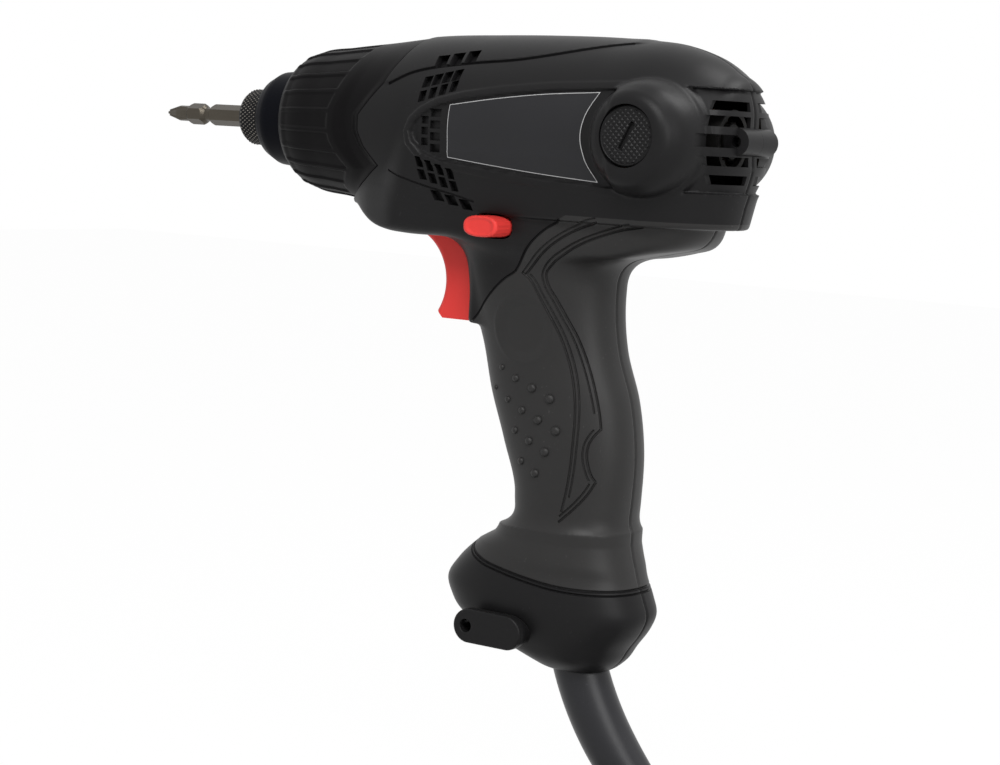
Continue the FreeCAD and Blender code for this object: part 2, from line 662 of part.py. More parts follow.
def build_anvil():
    front, arm_front, arm_back = number(ANVIL_FRONT), number(ARM_FRONT), number(ARM_BACK)
    chuck_back = number(CHUCK_BACK)
    arms = Part.makeBox(arm_back - arm_front, 2 * number("arm_radius"), number("arm_width"),
                        Vector(arm_front, -number("arm_radius"), -number("arm_width") / 2))
    arms = arms.common(disc(number("arm_radius"), arm_front, arm_back))
    anvil = disc(number("chuck_radius"), front, chuck_back)
    anvil = anvil.multiFuse([disc(number("anvil_radius"), chuck_back, arm_front),
                             disc(number("anvil_hub_radius"), arm_front, arm_back), arms])
    socket_end = number(BIT_BACK) + number("end_gap")
    anvil = anvil.cut(hexagon(number("bit_flats + hex_fit"), front, socket_end))
    pilot_end = arm_back - number("pilot_length") - number("end_gap")
    anvil = anvil.cut(disc(number("pilot_radius + running_fit"), pilot_end, arm_back))
    ring_front = number(RETAINING_FRONT)
    ring_room = disc(number("sleeve_radius"), ring_front, ring_front + number("retaining_thick"))
    anvil = anvil.cut(ring_room.cut(disc(number("chuck_radius - retaining_thick"), ring_front,
                                         ring_front + number("retaining_thick"))))
    balls = []
    for side in (1, -1):
        seat = Part.makeCylinder(number("lock_ball_radius + running_fit"), number("sleeve_radius"),
                                 Vector(number(LOCK_BALL), 0, 0), Vector(0, 0, side))
        anvil = anvil.cut(seat)
        height = number("chuck_radius - lock_ball_radius")
        balls.append(Part.makeSphere(number("lock_ball_radius"),
                                     Vector(number(LOCK_BALL), 0, side * height)))
    feature("anvil", anvil)
    feature("lock_balls", Part.makeCompound(balls))
    keep("retaining_ring", turned("sleeve_stop", [
        (RETAINING_FRONT, "chuck_radius - retaining_thick"),
        (f"{RETAINING_FRONT} + retaining_thick", "chuck_radius - retaining_thick"),
        (f"{RETAINING_FRONT} + retaining_thick", "sleeve_chamber - slide_gap"),
        (RETAINING_FRONT, "sleeve_chamber - slide_gap")]))


def build_bit():
    back = number(BIT_BACK)
    front = back - number("bit_length")
    tip, neck = number("bit_tip_length"), number("bit_neck_from_end")
    half_neck = number("bit_neck_width") / 2
    full = number("bit_flats") / math.sqrt(3)
    thin, blunt = number("bit_neck_radius"), number("bit_tip_radius")
    rise = full - thin
    shoulder = number("bit_flats") * 0.42
    half = [(0, 0), (0, blunt), (tip * 0.55, shoulder), (tip, shoulder), (tip + rise, full),
            (neck - half_neck - rise, full), (neck - half_neck, thin), (neck + half_neck,
                                                                        thin), (neck + half_neck + rise,
                                                                                full)]
    length = back - front
    mirrored = [(length - along, radius) for along, radius in reversed(half)]
    points = [Vector(front + along, radius, 0) for along, radius in half + mirrored]
    bit = hexagon(number("bit_flats"), front, back).common(lathe(runs(points + points[:1])))
    width = number("flute_width")
    for end, inward in ((front, 1), (back, -1)):
        for quarter in range(4):
            flute = Part.makeBox(tip, width * 3, width * 3)
            flute.rotate(Vector(), Vector(1, 0, 0), 45)
            flute.translate(Vector(0, 0, width * 0.35))
            flute.rotate(Vector(), Vector(0, 1, 0), -12)
            if inward < 0:
                flute.rotate(Vector(), Vector(0, 0, 1), 180)
            flute.translate(Vector(end, 0, 0))
            bit = bit.cut(around(flute, 90 * quarter + 45))
    feature("driver_bit", bit)


def build_chuck():
    keep("chuck_sleeve", turned("sleeve", [
        (SLEEVE_FRONT, "sleeve_chamber"), (LAND_FRONT, "sleeve_chamber"),
        (LAND_FRONT, "chuck_radius + slide_gap"), (LAND_BACK, "chuck_radius + slide_gap"),
        (f"{LAND_BACK} + sleeve_chamber - chuck_radius", "sleeve_chamber"),
        (f"{SLEEVE_BACK} - retaining_thick * 2", "sleeve_chamber"),
        (f"{SLEEVE_BACK} - retaining_thick * 2", "chuck_radius + slide_gap"), (SLEEVE_BACK,
                                                                               "chuck_radius + slide_gap"),
        (SLEEVE_BACK, "sleeve_radius"), (f"{SLEEVE_FRONT} + retaining_thick", "sleeve_radius"),
        (SLEEVE_FRONT, "sleeve_radius - retaining_thick")]))
    chamber_front = number(f"{RETAINING_FRONT} + retaining_thick")
    wire = number("sleeve_spring_wire")
    middle = (number("chuck_radius") + number("sleeve_chamber")) / 2
    feature("sleeve_spring", spring(middle, wire, 2, chamber_front, number(LAND_FRONT)))


def build_nose():
    keep("anvil_bush", turned("bush", [
        (CASE_FRONT, "anvil_radius + running_fit"), (BUSH_BACK, "anvil_radius + running_fit"),
        (BUSH_BACK, "bush_radius"), (CASE_FRONT, "bush_radius")]))
    keep("hammer_case", turned("case_bell", [
        (CASE_FRONT, "bush_radius"), (BUSH_BACK, "bush_radius"), (BUSH_BACK, "case_radius - case_wall"),
        (RING_FRONT, "case_radius - case_wall"), (RING_FRONT, "ring_gear_radius"), (PLATE_FRONT,
                                                                                    "ring_gear_radius"),
        (PLATE_FRONT, "case_rear_radius"), (f"{RING_FRONT} - case_wall", "case_rear_radius"),
        (f"{RING_FRONT} - case_wall * 2", "case_radius"), ("-case_shoulder_ahead - case_wall",
                                                           "case_radius"),
        (f"{NOSE_BACK} + boot_gap", "case_neck_radius"), (CASE_FRONT, "case_neck_radius")]))
    keep("nose_ring", turned("nose", [
        (NOSE_FRONT, "sleeve_radius + slide_gap"),
        (f"{CASE_FRONT} - seat_fit", "sleeve_radius + slide_gap"),
        (f"{CASE_FRONT} - seat_fit", "case_neck_radius"),
        (NOSE_BACK, "case_neck_radius"), (NOSE_BACK, "nose_ring_radius"),
        (f"{NOSE_FRONT} + nose_ring_lip * 0.62", "nose_ring_radius * 0.955"),
        (f"{NOSE_FRONT} + nose_ring_lip * 0.22", "nose_ring_radius * 0.84"),
        (NOSE_FRONT, "nose_ring_radius * 0.7")]))


# Outside of the nose boot and the motor housing

# Outside of the boot from its front edge to the housing: share of its length, share of the body radius
BOOT_PROFILE_SHARES = [(0, 0.57), (0.008, 0.63), (0.045, 0.715), (0.11, 0.762), (0.35, 0.822),
                       (0.67, 0.886), (1, 0.962)]
# Seam between boot and housing in side view: shares of the boot length and of the body radius
SEAM_SHARES = [(1, 1.2), (0.97, 0.96), (0.94, 0.69), (0.89, 0.44), (0.73, 0.08), (0.73, -0.09),
               (0.77, -0.25),
               (0.86, -0.45), (0.7, -0.62), (0.48, -0.84), (0.36, -1.2)]
# Rear edge of the ridges in side view
RIDGE_END_SHARES = [(0.64, 1.2), (0.6, 0.76), (0.53, 0.38), (0.48, 0.14), (0.475, -0.07), (0.49, -0.21),
                    (0.52, -0.32),
                    (0.59, -0.5), (0.48, -0.7), (0.4, -1.2)]
# Rear dome of the housing: share of the part behind the brush axis, share of the body radius
DOME_SHARES = [(0.0, 0.945), (0.47, 0.815), (0.9, 0.54), (1.0, 0.33)]

boot_front = number(BOOT_FRONT)
boot_back = number(f"{PLATE_FRONT} - end_gap * 2")
boot_length = boot_back - boot_front


def boot_point(share, radius_share):
    return Vector(boot_front + boot_length * share, number("body_radius") * radius_share, 0)


def body_solid(inset):
    """Round part of the motor housing, drawn in by the inset."""
    radius = number("body_radius")
    start = -number("body_ahead")
    behind = number("brush_behind")
    end = number("body_behind") - inset
    front = boot_point(0.35, BOOT_PROFILE_SHARES[4][1] - inset / radius)
    front.x = start
    shoulder = boot_point(1, BOOT_PROFILE_SHARES[-1][1] - inset / radius)
    crown = Vector((shoulder.x + behind) / 2, radius - inset, 0)
    dome = [Vector(behind + (end - behind) * along, radius * share - inset, 0) for along,
            share in DOME_SHARES]
    edges = [Part.LineSegment(Vector(start, 0, 0), front).toShape(),
             Part.LineSegment(front, shoulder).toShape(),
             Part.Arc(shoulder, crown, dome[0]).toShape(), Part.Arc(dome[0], dome[1], dome[2]).toShape()]
    edges += runs([dome[2], dome[3], Vector(end, 0, 0), Vector(start, 0, 0)])
    return lathe(edges)


def plan_outline(front, rear, half_width, height, inset, round_front=False):
    """Plan outline with straight sides and a round rear, at one height."""
    half = half_width - inset
    back = rear - inset
    ends = back - half
    tip = front + inset
    start = tip + half if round_front else tip
    corners = [Vector(ends, half, height), Vector(start, half, height), Vector(start, -half, height),
               Vector(ends, -half, height)]
    edges = runs(corners)
    if round_front:
        edges[1] = Part.Arc(corners[1], Vector(tip, 0, height), corners[2]).toShape()
    return Part.Wire(edges + [Part.Arc(corners[3], Vector(back, 0, height), corners[0]).toShape()])


# Bow of the skirt and the trough in plan: shares of the chin's reach and of the skirt's half width
BOW_SHARES = [(1.0, 0.06), (0.905, 0.43), (0.785, 0.75), (0.66, 0.96), (0.5, 1.3)]


def bow_room(inset):
    """Upright room behind the bow line."""
    reach, half = number("chin_ahead"), number("skirt_width / 2")
    line = [Vector(inset - reach * along, half * aside - inset * 0.5, 0) for along, aside in BOW_SHARES]
    line.append(Vector(reach, half * 2, 0))
    loop = line + [Vector(point.x, -point.y, 0) for point in reversed(line)]
    deep = number("handle_drop")
    room = Part.Face(Part.makePolygon(loop + loop[:1])).extrude(Vector(0, 0, 2 * deep))
    room.translate(Vector(0, 0, -deep))
    return room


def skirt_solid(inset):
    """Lower sides of the motor housing."""
    top = plan_outline(-number("body_ahead"), number("skirt_behind"), number("body_radius * 0.972"),
                       -number("body_radius * 0.2"), inset)
    low = plan_outline(-number("body_ahead"), number("skirt_foot_behind"), number("skirt_width / 2"),
                       -number("skirt_drop") + inset, inset)
    return Part.makeLoft([top, low], True, True).common(bow_room(inset))


# Side outline of the trough from the chin to the tail: shares of its reach and of its drop
CHIN_AHEAD_SHARES = [(0.72, 0.955), (0.6, 1.0), (0.2, 1.0)]
TAIL_SHARES = [(0.38, 1.105), (0.7, 1.023), (0.91, 0.947), (1.0, 0.842)]


def chin_solid(inset):
    """Trough under the housing, from the chin ahead of the trigger to the tail over the hand."""
    half = number("chin_width / 2") - inset
    drop = number("chin_drop") - inset
    ahead, behind = number("chin_ahead") - inset, number("tail_behind") - inset
    top = -number("skirt_drop") * 0.86
    corners = [(-ahead, top)] + [(-ahead * along, -drop * down) for along, down in CHIN_AHEAD_SHARES]
    corners += [(behind * along, -drop * down) for along, down in TAIL_SHARES] + [(behind, top)]
    solid = prism(corners, -half, half)
    lower = []
    for edge in solid.Edges:
        middle = edge.CenterOfMass
        if abs(abs(middle.y) - half) < 1e-6 and middle.z < top - 1e-6 and middle.x < behind - 1e-6:
            lower.append(edge)
    solid = solid.makeFillet(max(number("chin_round") - inset, number("shell_wall") / 2), lower)
    plan = plan_outline(-number("chin_ahead"), number("tail_behind"), number("chin_width / 2"), -drop * 2,
                        inset, True)
    return solid.common(Part.Face(plan).extrude(Vector(0, 0, drop * 2))).common(bow_room(inset))


# Level sections of the grip: share of the handle drop, front and rear as shares of the grip depth, share of
# the width
GRIP_SHARES = [(0.17, -0.8, 0.36, 1.2), (0.26, -0.72, 0.325, 1.12), (0.33, -0.66, 0.325, 1.06),
               (0.4, -0.58, 0.365, 1.0), (0.49, -0.5, 0.47, 1.0), (0.58, -0.385, 0.52, 1.0),
               (0.68, -0.275, 0.515, 1.0), (0.735, -0.295, 0.5, 1.04), (0.775, -0.47, 0.5, 1.1)]
# Level sections of the base: share of the handle drop, front and rear as shares of the base length, share of
# the width
BASE_SHARES = [(0.755, -0.26, 0.335, 0.83), (0.79, -0.385, 0.365, 0.9), (0.825, -0.465, 0.405, 0.97),
               (0.855, -0.505, 0.435, 1.0), (0.885, -0.485, 0.455, 1.0), (0.915, -0.43, 0.43, 0.97),
               (0.95, -0.27, 0.375, 0.86), (0.98, -0.1, 0.33, 0.7), (1.0, 0.0, 0.28, 0.5)]
SECTION_POINTS = 16
SECTION_SQUARENESS = 2.5


def level_section(height, front, rear, half_width):
    """Closed level curve between an ellipse and a rounded box."""
    middle, half_length = (front + rear) / 2, (rear - front) / 2
    power = 2 / SECTION_SQUARENESS
    points = []
    for index in range(SECTION_POINTS):
        angle = 2 * math.pi * index / SECTION_POINTS
        across, aside = math.cos(angle), math.sin(angle)
        points.append(Vector(middle + half_length * math.copysign(abs(across) ** power, across),
                             half_width * math.copysign(abs(aside) ** power, aside), height))
    curve = Part.BSplineCurve()
    curve.interpolate(Points=points, PeriodicFlag=True)
    return Part.Wire(curve.toShape())


def handle_solid(shares, length, width, inset):
    """Loft through level sections of the handle, drawn in by the inset."""
    drop = number("handle_drop")
    sections = []
    for down, front, rear, wide in shares:
        height = -drop * down
        if down == 1.0:
            height += inset
        sections.append(level_section(height, front * length + inset, rear * length - inset,
                                      wide * width / 2 - inset))
    return Part.makeLoft(sections, True, False)


def grip_solid(inset):
    return handle_solid(GRIP_SHARES, number("grip_depth"), number("grip_width"), inset)


def base_solid(inset):
    return handle_solid(BASE_SHARES, number("base_length"), number("base_width"), inset)


def across_rod(radius, low, high, x, z):
    """Cylinder across the tool, from Y = low to Y = high."""
    return Part.makeCylinder(radius, high - low, Vector(x, low, z), Vector(0, 1, 0))


def seam_cutter(shares, far, high):
    """Everything behind (far > 0) or ahead of the seam line."""
    line = [(boot_front + boot_length * along, number("body_radius") * up) for along, up in shares]
    edge = boot_back + far
    return prism(line + [(edge, line[-1][1]), (edge, line[0][1])], -high, high)


# Rows of front air cells in side view, in shares of the body radius: count, first and last cell along and up,
# cell width and height, shift along from foot to top, and rise across the cell
VENT_SHARES = [
    (3, -1.33, 0.68, -0.98, 0.741, 0.118, 0.114, -0.027, 0.018),
    (4, -1.405, 0.458, -1.052, 0.539, 0.084, 0.104, 0.004, 0.02),
    (4, -1.417, 0.306, -1.044, 0.42, 0.071, 0.101, 0.002, 0.02),
    (4, -1.219, 0.138, -1.219, -0.229, 0.108, 0.074, 0.0, 0.0),
    (2, -1.352, 0.02, -1.356, -0.135, 0.064, 0.054, 0.0, 0.0),
    (4, -1.412, -0.379, -1.025, -0.485, 0.069, 0.098, -0.02, -0.008),
    (4, -1.39, -0.512, -0.993, -0.613, 0.077, 0.094, -0.03, -0.006),
    (3, -1.212, -0.724, -0.855, -0.798, 0.108, 0.094, -0.05, -0.008),
]


def vent_cells():
    """Slanted air cells of the front vents as prisms across the tool."""
    radius = number("body_radius")
    reach = radius + number("overrun")
    cells = []
    for count, first_x, first_z, last_x, last_z, wide, high, lean, rise in VENT_SHARES:
        for index in range(count):
            share = index / (count - 1)
            x = radius * (first_x + (last_x - first_x) * share)
            z = radius * (first_z + (last_z - first_z) * share)
            corners = []
            for aside, up in ((-0.5, -0.5), (0.5, -0.5), (0.5, 0.5), (-0.5, 0.5)):
                corners.append((x + radius * (wide * aside + lean * up),
                                z + radius * (high * up + rise * aside)))
            cells.append(prism(corners, -reach, reach))
    return cells


# Rear air slots: height of the middle as a share of the body radius, and share of the slot height
REAR_SLOT_SHARES = [(0.348, 0.8), (0.195, 0.91), (0.0, 1.1), (-0.2, 0.8), (-0.384, 0.8)]


def rear_slots():
    """Level air slots round the rear of the housing."""
    reach = number("rear_slot_depth")
    back = number("body_behind + overrun")
    half = number("body_radius")
    start = number("body_behind") - reach
    slots = []
    for level_share, high_share in REAR_SLOT_SHARES:
        high = number("rear_slot_height") * high_share
        slots.append(Part.makeBox(back - start, 2 * half, high,
                                  Vector(start, -half, half * level_share - high / 2)))
    return slots


# Housing screws: behind the grip middle and below the tool axis, as shares of body_behind and handle_drop
SCREW_SHARES = [(0.965, 0.0), (0.55, 0.178), (-0.99, 0.173), (0.06, 0.43), (-0.36, 0.9), (0.4, 0.905)]


def screw_places():
    """Place and half width of the housing at each screw; the first is the boss on the rear."""
    halves = [number("rear_boss_half"), number("chin_width / 2"), number("chin_width / 2 * 0.85"),
              number("grip_width / 2"),
              number("base_width / 2 * 0.87"), number("base_width / 2 * 0.73")]
    places = []
    for (along, down), half in zip(SCREW_SHARES, halves):
        places.append((number("body_behind") * along, -number("handle_drop") * down, half))
    return places


def screw_room(gap):
    """Screws with room round them; with no gap, the screws themselves."""
    rooms = []
    for x, z, half in screw_places():
        head = half - number("screw_head_height") * 1.3
        start = number("shell_wall * 1.5") - half
        if z == 0 and gap > 0:
            start = -half - number("overrun")
        end = head + number("screw_head_height") if gap == 0 else half + number("overrun")
        shank = across_rod(number("screw_radius") + gap, start, head, x, z)
        rooms.append(shank.fuse(across_rod(number("screw_head_radius") + gap, head, end, x, z)))
    return rooms


def lever_bar(gap, low, high):
    """Reverse lever: a bar with round ends, across the tool."""
    x, z = -number("lever_ahead"), -number("lever_drop")
    radius = number("lever_height / 2")
    reach = number("lever_length / 2") - radius
    bar = Part.makeBox(2 * reach, high - low, 2 * (radius + gap), Vector(x - reach, low, z - radius - gap))
    return bar.multiFuse([across_rod(radius + gap, low, high, x - reach, z),
                          across_rod(radius + gap, low, high, x + reach, z)])


def side_solid(inset):
    """Round body and skirt together."""
    return body_solid(inset).fuse(skirt_solid(inset))


# Nameplate in side view: shares of the body radius along and up
LABEL_SHARES = [(-1.07, 0.28), (0.74, 0.46), (0.63, 0.21), (0.58, -0.03), (0.63, -0.25), (0.74, -0.44),
                (-1.07, -0.29)]


def label_solid(gap):
    """Nameplate in its shallow recess on the left side; with a gap, the recess."""
    radius = number("body_radius")
    thick = number("plate_label_thick")
    outline = prism([(radius * along, radius * up) for along, up in LABEL_SHARES], -2 * radius, 0)
    if gap > 0:
        return outline.cut(side_solid(thick * 0.8))
    return side_solid(-thick * 0.2).cut(side_solid(thick * 0.8)).common(outline)


def lug_bar(start, end, grown, low, high):
    """Bar with round ends at the height of the strap lug."""
    z = -number("lug_drop")
    radius = number("lug_height / 2") + grown
    first, last = start + number("lug_height / 2"), end - number("lug_height / 2")
    bar = Part.makeBox(last - first, high - low, 2 * radius, Vector(first, low, z - radius))
    return bar.multiFuse([across_rod(radius, low, high, first, z), across_rod(radius, low, high, last, z)])


def lug_stem(gap):
    start = number("lug_length * 0.42 - lug_front_ahead")
    end = number("lug_length - lug_front_ahead")
    return lug_bar(start, end, gap - number("end_gap"), -number("lug_side"), -number("lug_stem_inner"))


# Cord guard: lean from the vertical at the base and at its end, degrees
GUARD_LEAN = 20
GUARD_END_LEAN = 58


def lean_vector(degrees):
    """Downward direction that leans to the rear."""
    return Vector(math.sin(math.radians(degrees)), 0, -math.cos(math.radians(degrees)))


def guard_exit():
    return Vector(number("guard_exit_behind"), 0, -number("handle_drop"))


def guard_path(share):
    """Place and lean of the guard's middle line at a share of its length."""
    bend = number("guard_length") / math.radians(GUARD_END_LEAN - GUARD_LEAN)
    lean = GUARD_LEAN + (GUARD_END_LEAN - GUARD_LEAN) * share
    first, now = math.radians(GUARD_LEAN), math.radians(lean)
    place = guard_exit() + Vector(bend * (math.cos(first) - math.cos(now)), 0,
                                  -bend * (math.sin(now) - math.sin(first)))
    return place, lean


def guard_inside(gap):
    """Collar, flange and stub of the cord guard in the base."""
    up = lean_vector(GUARD_LEAN) * -1
    exit_place = guard_exit()
    collar = number("shell_wall * 2")
    thick = number("guard_flange_thick")
    length = number("guard_inner_length")
    out = number("overrun") if gap > 0 else 0
    parts = [Part.makeCylinder(number("guard_flange_radius") + gap, thick + 2 * gap,
                               exit_place + up * (collar - gap), up),
             Part.makeCylinder(number("guard_inner_radius") + gap, length,
                               exit_place + up * (collar + thick), up)]
    return Part.makeCylinder(number("guard_radius") + gap, collar + out, exit_place - up * out,
                             up).multiFuse(parts)


GUARD_STATION_SHARES = [0, 0.16, 0.33, 0.5, 0.66, 0.8, 0.9, 1]
GUARD_RADIUS_SHARES = [1, 0.99, 0.975, 0.95, 0.89, 0.79, 0.7, 0.605]


def build_guard():
    rings = []
    for share, radius_share in zip(GUARD_STATION_SHARES, GUARD_RADIUS_SHARES):
        place, lean = guard_path(share)
        rings.append(Part.Wire(Part.makeCircle(number("guard_radius") * radius_share, place,
                                               lean_vector(lean))))
    feature("cord_guard", Part.makeLoft(rings, True, False).fuse(guard_inside(0)))


def clamp_box():
    """Cord clamp ahead of the guard's stub: lowest corner and sizes."""
    up = lean_vector(GUARD_LEAN) * -1
    stub = guard_exit() + up * number("shell_wall * 2 + guard_flange_thick + guard_inner_length / 2")
    x = stub.x - number("guard_inner_radius") - number("clamp_thick") * 0.7
    corner = Vector(x, -number("clamp_width / 2"), stub.z - number("clamp_height / 2"))
    return corner, (number("clamp_thick"), number("clamp_width"), number("clamp_height"))


def clamp_posts():
    """Posts in the base that the clamp is screwed to."""
    corner, spans = clamp_box()
    wide = number("clamp_width") * 0.28
    floor_z = -number("handle_drop") * 0.95
    posts = []
    for y in (corner.y, corner.y + spans[1] - wide):
        start = Vector(corner.x + spans[0], y, floor_z)
        posts.append(Part.makeBox(number("clamp_thick * 2"), wide, corner.z + spans[2] - floor_z, start))
    return posts


def clamp_screw(gap):
    """Screws of the cord clamp; with a gap, their holes."""
    corner, spans = clamp_box()
    screws = []
    for side in (-1, 1):
        start = Vector(corner.x, side * spans[1] * 0.36, corner.z + spans[2] / 2)
        length = number("clamp_thick * 2.6")
        shank = Part.makeCylinder(number("screw_radius") + gap, length, start, Vector(1, 0, 0))
        if gap == 0:
            head = Part.makeCylinder(number("screw_head_radius"), number("screw_head_height"), start,
                                     Vector(-1, 0, 0))
            shank = shank.fuse(head)
        screws.append(shank)
    return screws


def build_clamp():
    corner, spans = clamp_box()
    bar = Part.makeBox(*spans, corner).cut(guard_inside(0))
    feature("cord_clamp", bar.cut(clamp_screw(number("hex_fit"))))
    feature("cord_clamp_screws", Part.makeCompound(clamp_screw(0)))


def build_lug():
    start = -number("lug_front_ahead")
    side = -number("lug_side")
    plate = lug_bar(start, start + number("lug_length"), 0, side, side + number("lug_thick"))
    lug = plate.fuse(lug_stem(0))
    hole = across_rod(number("lug_hole_radius"), side - number("overrun"), side + number("overrun"),
                      start + number("lug_height") * 0.43, -number("lug_drop"))
    feature("strap_lug", lug.cut(hole))


def switch_corner():
    """Lowest front left corner of the switch."""
    front = -number("trigger_back_ahead - trigger_travel - end_gap")
    top = -number("chin_drop + shell_wall / 2")
    return Vector(front, -number("switch_width / 2"), top - number("switch_height"))


# Upper edge of the soft skin in side view: shares of the grip depth and of the handle drop
SKIN_EDGE_SHARES = [(-0.62, 0.375), (-0.54, 0.352), (-0.462, 0.324), (-0.37, 0.296), (-0.284, 0.274),
                    (-0.2, 0.259),
                    (0.02, 0.259), (0.12, 0.248)]
SKIN_FOOT_SHARE = 0.745


def build_housing():
    wall, skin = number("shell_wall"), number("grip_skin")
    outer = body_solid(0).multiFuse([skirt_solid(0), chin_solid(0), grip_solid(0), base_solid(0)])
    inner = body_solid(wall).multiFuse([skirt_solid(wall), chin_solid(wall), grip_solid(wall + skin),
                                        base_solid(wall)])
    brush_x, reach = number("brush_behind"), number("brush_boss_reach")
    foot = number("body_radius * 0.78")
    for side in (1, -1):
        boss = Part.makeCone(number("brush_boss_radius"), number("brush_boss_top_radius"), reach - foot,
                             Vector(brush_x, side * foot, 0), Vector(0, side, 0))
        outer = outer.fuse(boss)
    shell = outer.cut(inner).cut(vent_cells() + rear_slots() + [label_solid(number("seat_fit"))])
    # Webs and bosses inside
    span = number("body_radius + overrun")
    big = 2 * span

    def slab(start, end, low, high):
        return Part.makeBox(end - start, big, high - low, Vector(start, -span, low)).common(inner)

    field_front, field_back = number(CORE_FRONT), number(CORE_BACK)
    third = (field_back - field_front) / 6
    bearing_x, bearing_end = number("rear_bearing_behind"), number("rear_bearing_behind + bearing_width")
    seat = number("bearing_radius") + wall
    plate_back = number(f"{PLATE_FRONT} + plate_thick")
    corner = switch_corner()
    webs = [slab(plate_back - number("plate_thick"), plate_back + wall, -span, span),
            slab(field_front + third, field_front + third + wall, -span, span),
            slab(field_back - third - wall, field_back - third, -span, span),
            slab(bearing_x, bearing_end, -seat, seat)]
    switch_end = corner.x + number("switch_length")
    webs.append(slab(corner.x, switch_end, corner.z - wall, corner.z))
    webs.append(slab(corner.x + wall, switch_end - wall, corner.z + number("switch_height"),
                     corner.z + number("switch_height") + wall))
    webs.append(slab(-number("base_length"), number("base_length"), -number("handle_drop"),
                     -number("handle_drop") * 0.945))
    bosses = clamp_posts()
    for x, z, half in screw_places()[1:]:
        bosses.append(across_rod(number("screw_boss_radius"), -half, half, x, z).common(inner))
    rear_x, rear_z, rear_half = screw_places()[0]
    bosses.append(across_rod(number("rear_boss_radius"), -rear_half, rear_half, rear_x, rear_z))
    for side in (1, -1):
        low, high = sorted((side * number("holder_inner_end + shell_wall / 2"), side * foot))
        bosses.append(across_rod(number("holder_radius") + wall, low, high, brush_x, 0))
    shell = shell.multiFuse(webs + bosses)
    # Seats and openings
    far = number("overrun")
    cuts = [disc(number("field_radius"), field_front, field_back),
            disc(number("bearing_radius"), bearing_x, bearing_end),
            disc(number("case_rear_radius"), -number("body_ahead") - far, plate_back),
            disc(number("plate_hub_radius + end_gap"), plate_back, plate_back + far)]
    for side in (1, -1):
        low, high = sorted((side * number("commutator_radius + end_gap * 2"), side * (reach + far)))
        cuts.append(across_rod(number("holder_radius"), low, high, brush_x, 0))
        depth = reach - number("cap_recess + brush_cap_depth")
        low, high = sorted((side * depth, side * (reach + far)))
        cuts.append(across_rod(number("brush_cap_radius + seat_fit"), low, high, brush_x, 0))
    half = number("trigger_width / 2 + slide_gap")
    top, foot_z = -number("trigger_top_drop - slide_gap"), -number("trigger_foot_drop + slide_gap")
    front = -number("trigger_ahead + overrun")
    trigger_room = Part.makeBox(corner.x - front, 2 * half, top - foot_z, Vector(front, -half, foot_z))
    switch_room = Part.makeBox(number("switch_length"), number("switch_width"), number("switch_height"),
                               corner)
    cuts += [trigger_room, lever_bar(number("slide_gap"), -span, span), switch_room]
    cuts += screw_room(number("seat_fit"))
    cuts += [guard_inside(number("seat_fit") / 2), lug_stem(number("seat_fit") / 2)]
    cuts += clamp_screw(number("running_fit"))
    cuts.append(seam_cutter(SEAM_SHARES, -2 * number("handle_drop"), span + far))
    shell = shell.cut(cuts)
    # Soft skin on the grip
    far, drop = number("base_length"), number("handle_drop")
    top_edge = [(number("grip_depth") * along, -drop * down) for along, down in SKIN_EDGE_SHARES]
    corners = [(-far, top_edge[0][1])] + top_edge + [(far, top_edge[-1][1])]
    room = prism(corners + [(far, -drop * SKIN_FOOT_SHARE), (-far, -drop * SKIN_FOOT_SHARE)], -span, span)
    soft = grip_solid(0).cut(grip_solid(skin)).common(room).cut(cuts)
    shell = shell.cut(soft)
    for name, low in (("left", -span), ("right", 0)):
        side = Part.makeBox(4 * big, span, 8 * big, Vector(-2 * big, low, -4 * big))
        feature(f"{name}_housing", biggest(shell.common(side)))
        feature(f"{name}_grip", biggest(soft.common(side)))
    feature("housing_screws", Part.makeCompound(screw_room(0)))
    feature("name_plate", biggest(label_solid(0)))


def biggest(shape):
    """The largest solid of a cut shape."""
    return max(shape.Solids, key=lambda solid: solid.Volume)


def build_boot():
    points = [boot_point(along, radius) for along, radius in BOOT_PROFILE_SHARES]
    lined = [Vector(points[0].x, number("case_neck_radius"), 0),
             Vector(number("-case_shoulder_ahead - case_wall"), number("case_radius"), 0),
             Vector(number(f"{RING_FRONT} - case_wall * 2"), number("case_radius"), 0),
             Vector(number(f"{RING_FRONT} - case_wall"), number("case_rear_radius"),
                    0), Vector(points[-1].x, number("case_rear_radius"), 0)]
    boot = lathe(runs(points + list(reversed(lined)) + points[:1]))
    high = number("rib_height")
    crest = [Vector(point.x, point.y + high, 0) for point in points[2:]]
    foot = [Vector(point.x, point.y - high, 0) for point in points[2:]]
    width = number("rib_width")
    loop = crest + list(reversed(foot))
    blade = Part.Face(Part.makePolygon(loop + loop[:1])).extrude(Vector(0, 0, width))
    blade.translate(Vector(0, 0, -width / 2))
    span = number("body_radius + overrun")
    ribs = Part.makeCompound([around(blade, 360 / RIBS * index) for index in range(RIBS)])
    ribs = ribs.cut(seam_cutter(RIDGE_END_SHARES, number("overrun"), span))
    boot = boot.multiFuse(ribs.Solids)
    boot = boot.cut(seam_cutter(SEAM_SHARES, number("overrun"), span))
    feature("nose_boot", biggest(boot))


def bearing(label, start):
    """Ball bearing from its front face."""
    end = start + number("bearing_width")
    race, outside = number("bearing_race"), number("bearing_radius")
    bore = number("shaft_radius + running_fit")
    parts = [disc(outside, start, end).cut(disc(outside - race, start, end)),
             disc(bore + race, start, end).cut(disc(bore, start, end))]
    circle = (outside - race + bore + race) / 2
    radius = (outside - bore) / 2 - race
    for index in range(BEARING_BALLS):
        marble = Part.makeSphere(radius, Vector((start + end) / 2, circle, 0))
        parts.append(around(marble, 360 / BEARING_BALLS * index))
    feature(label, Part.makeCompound(parts))


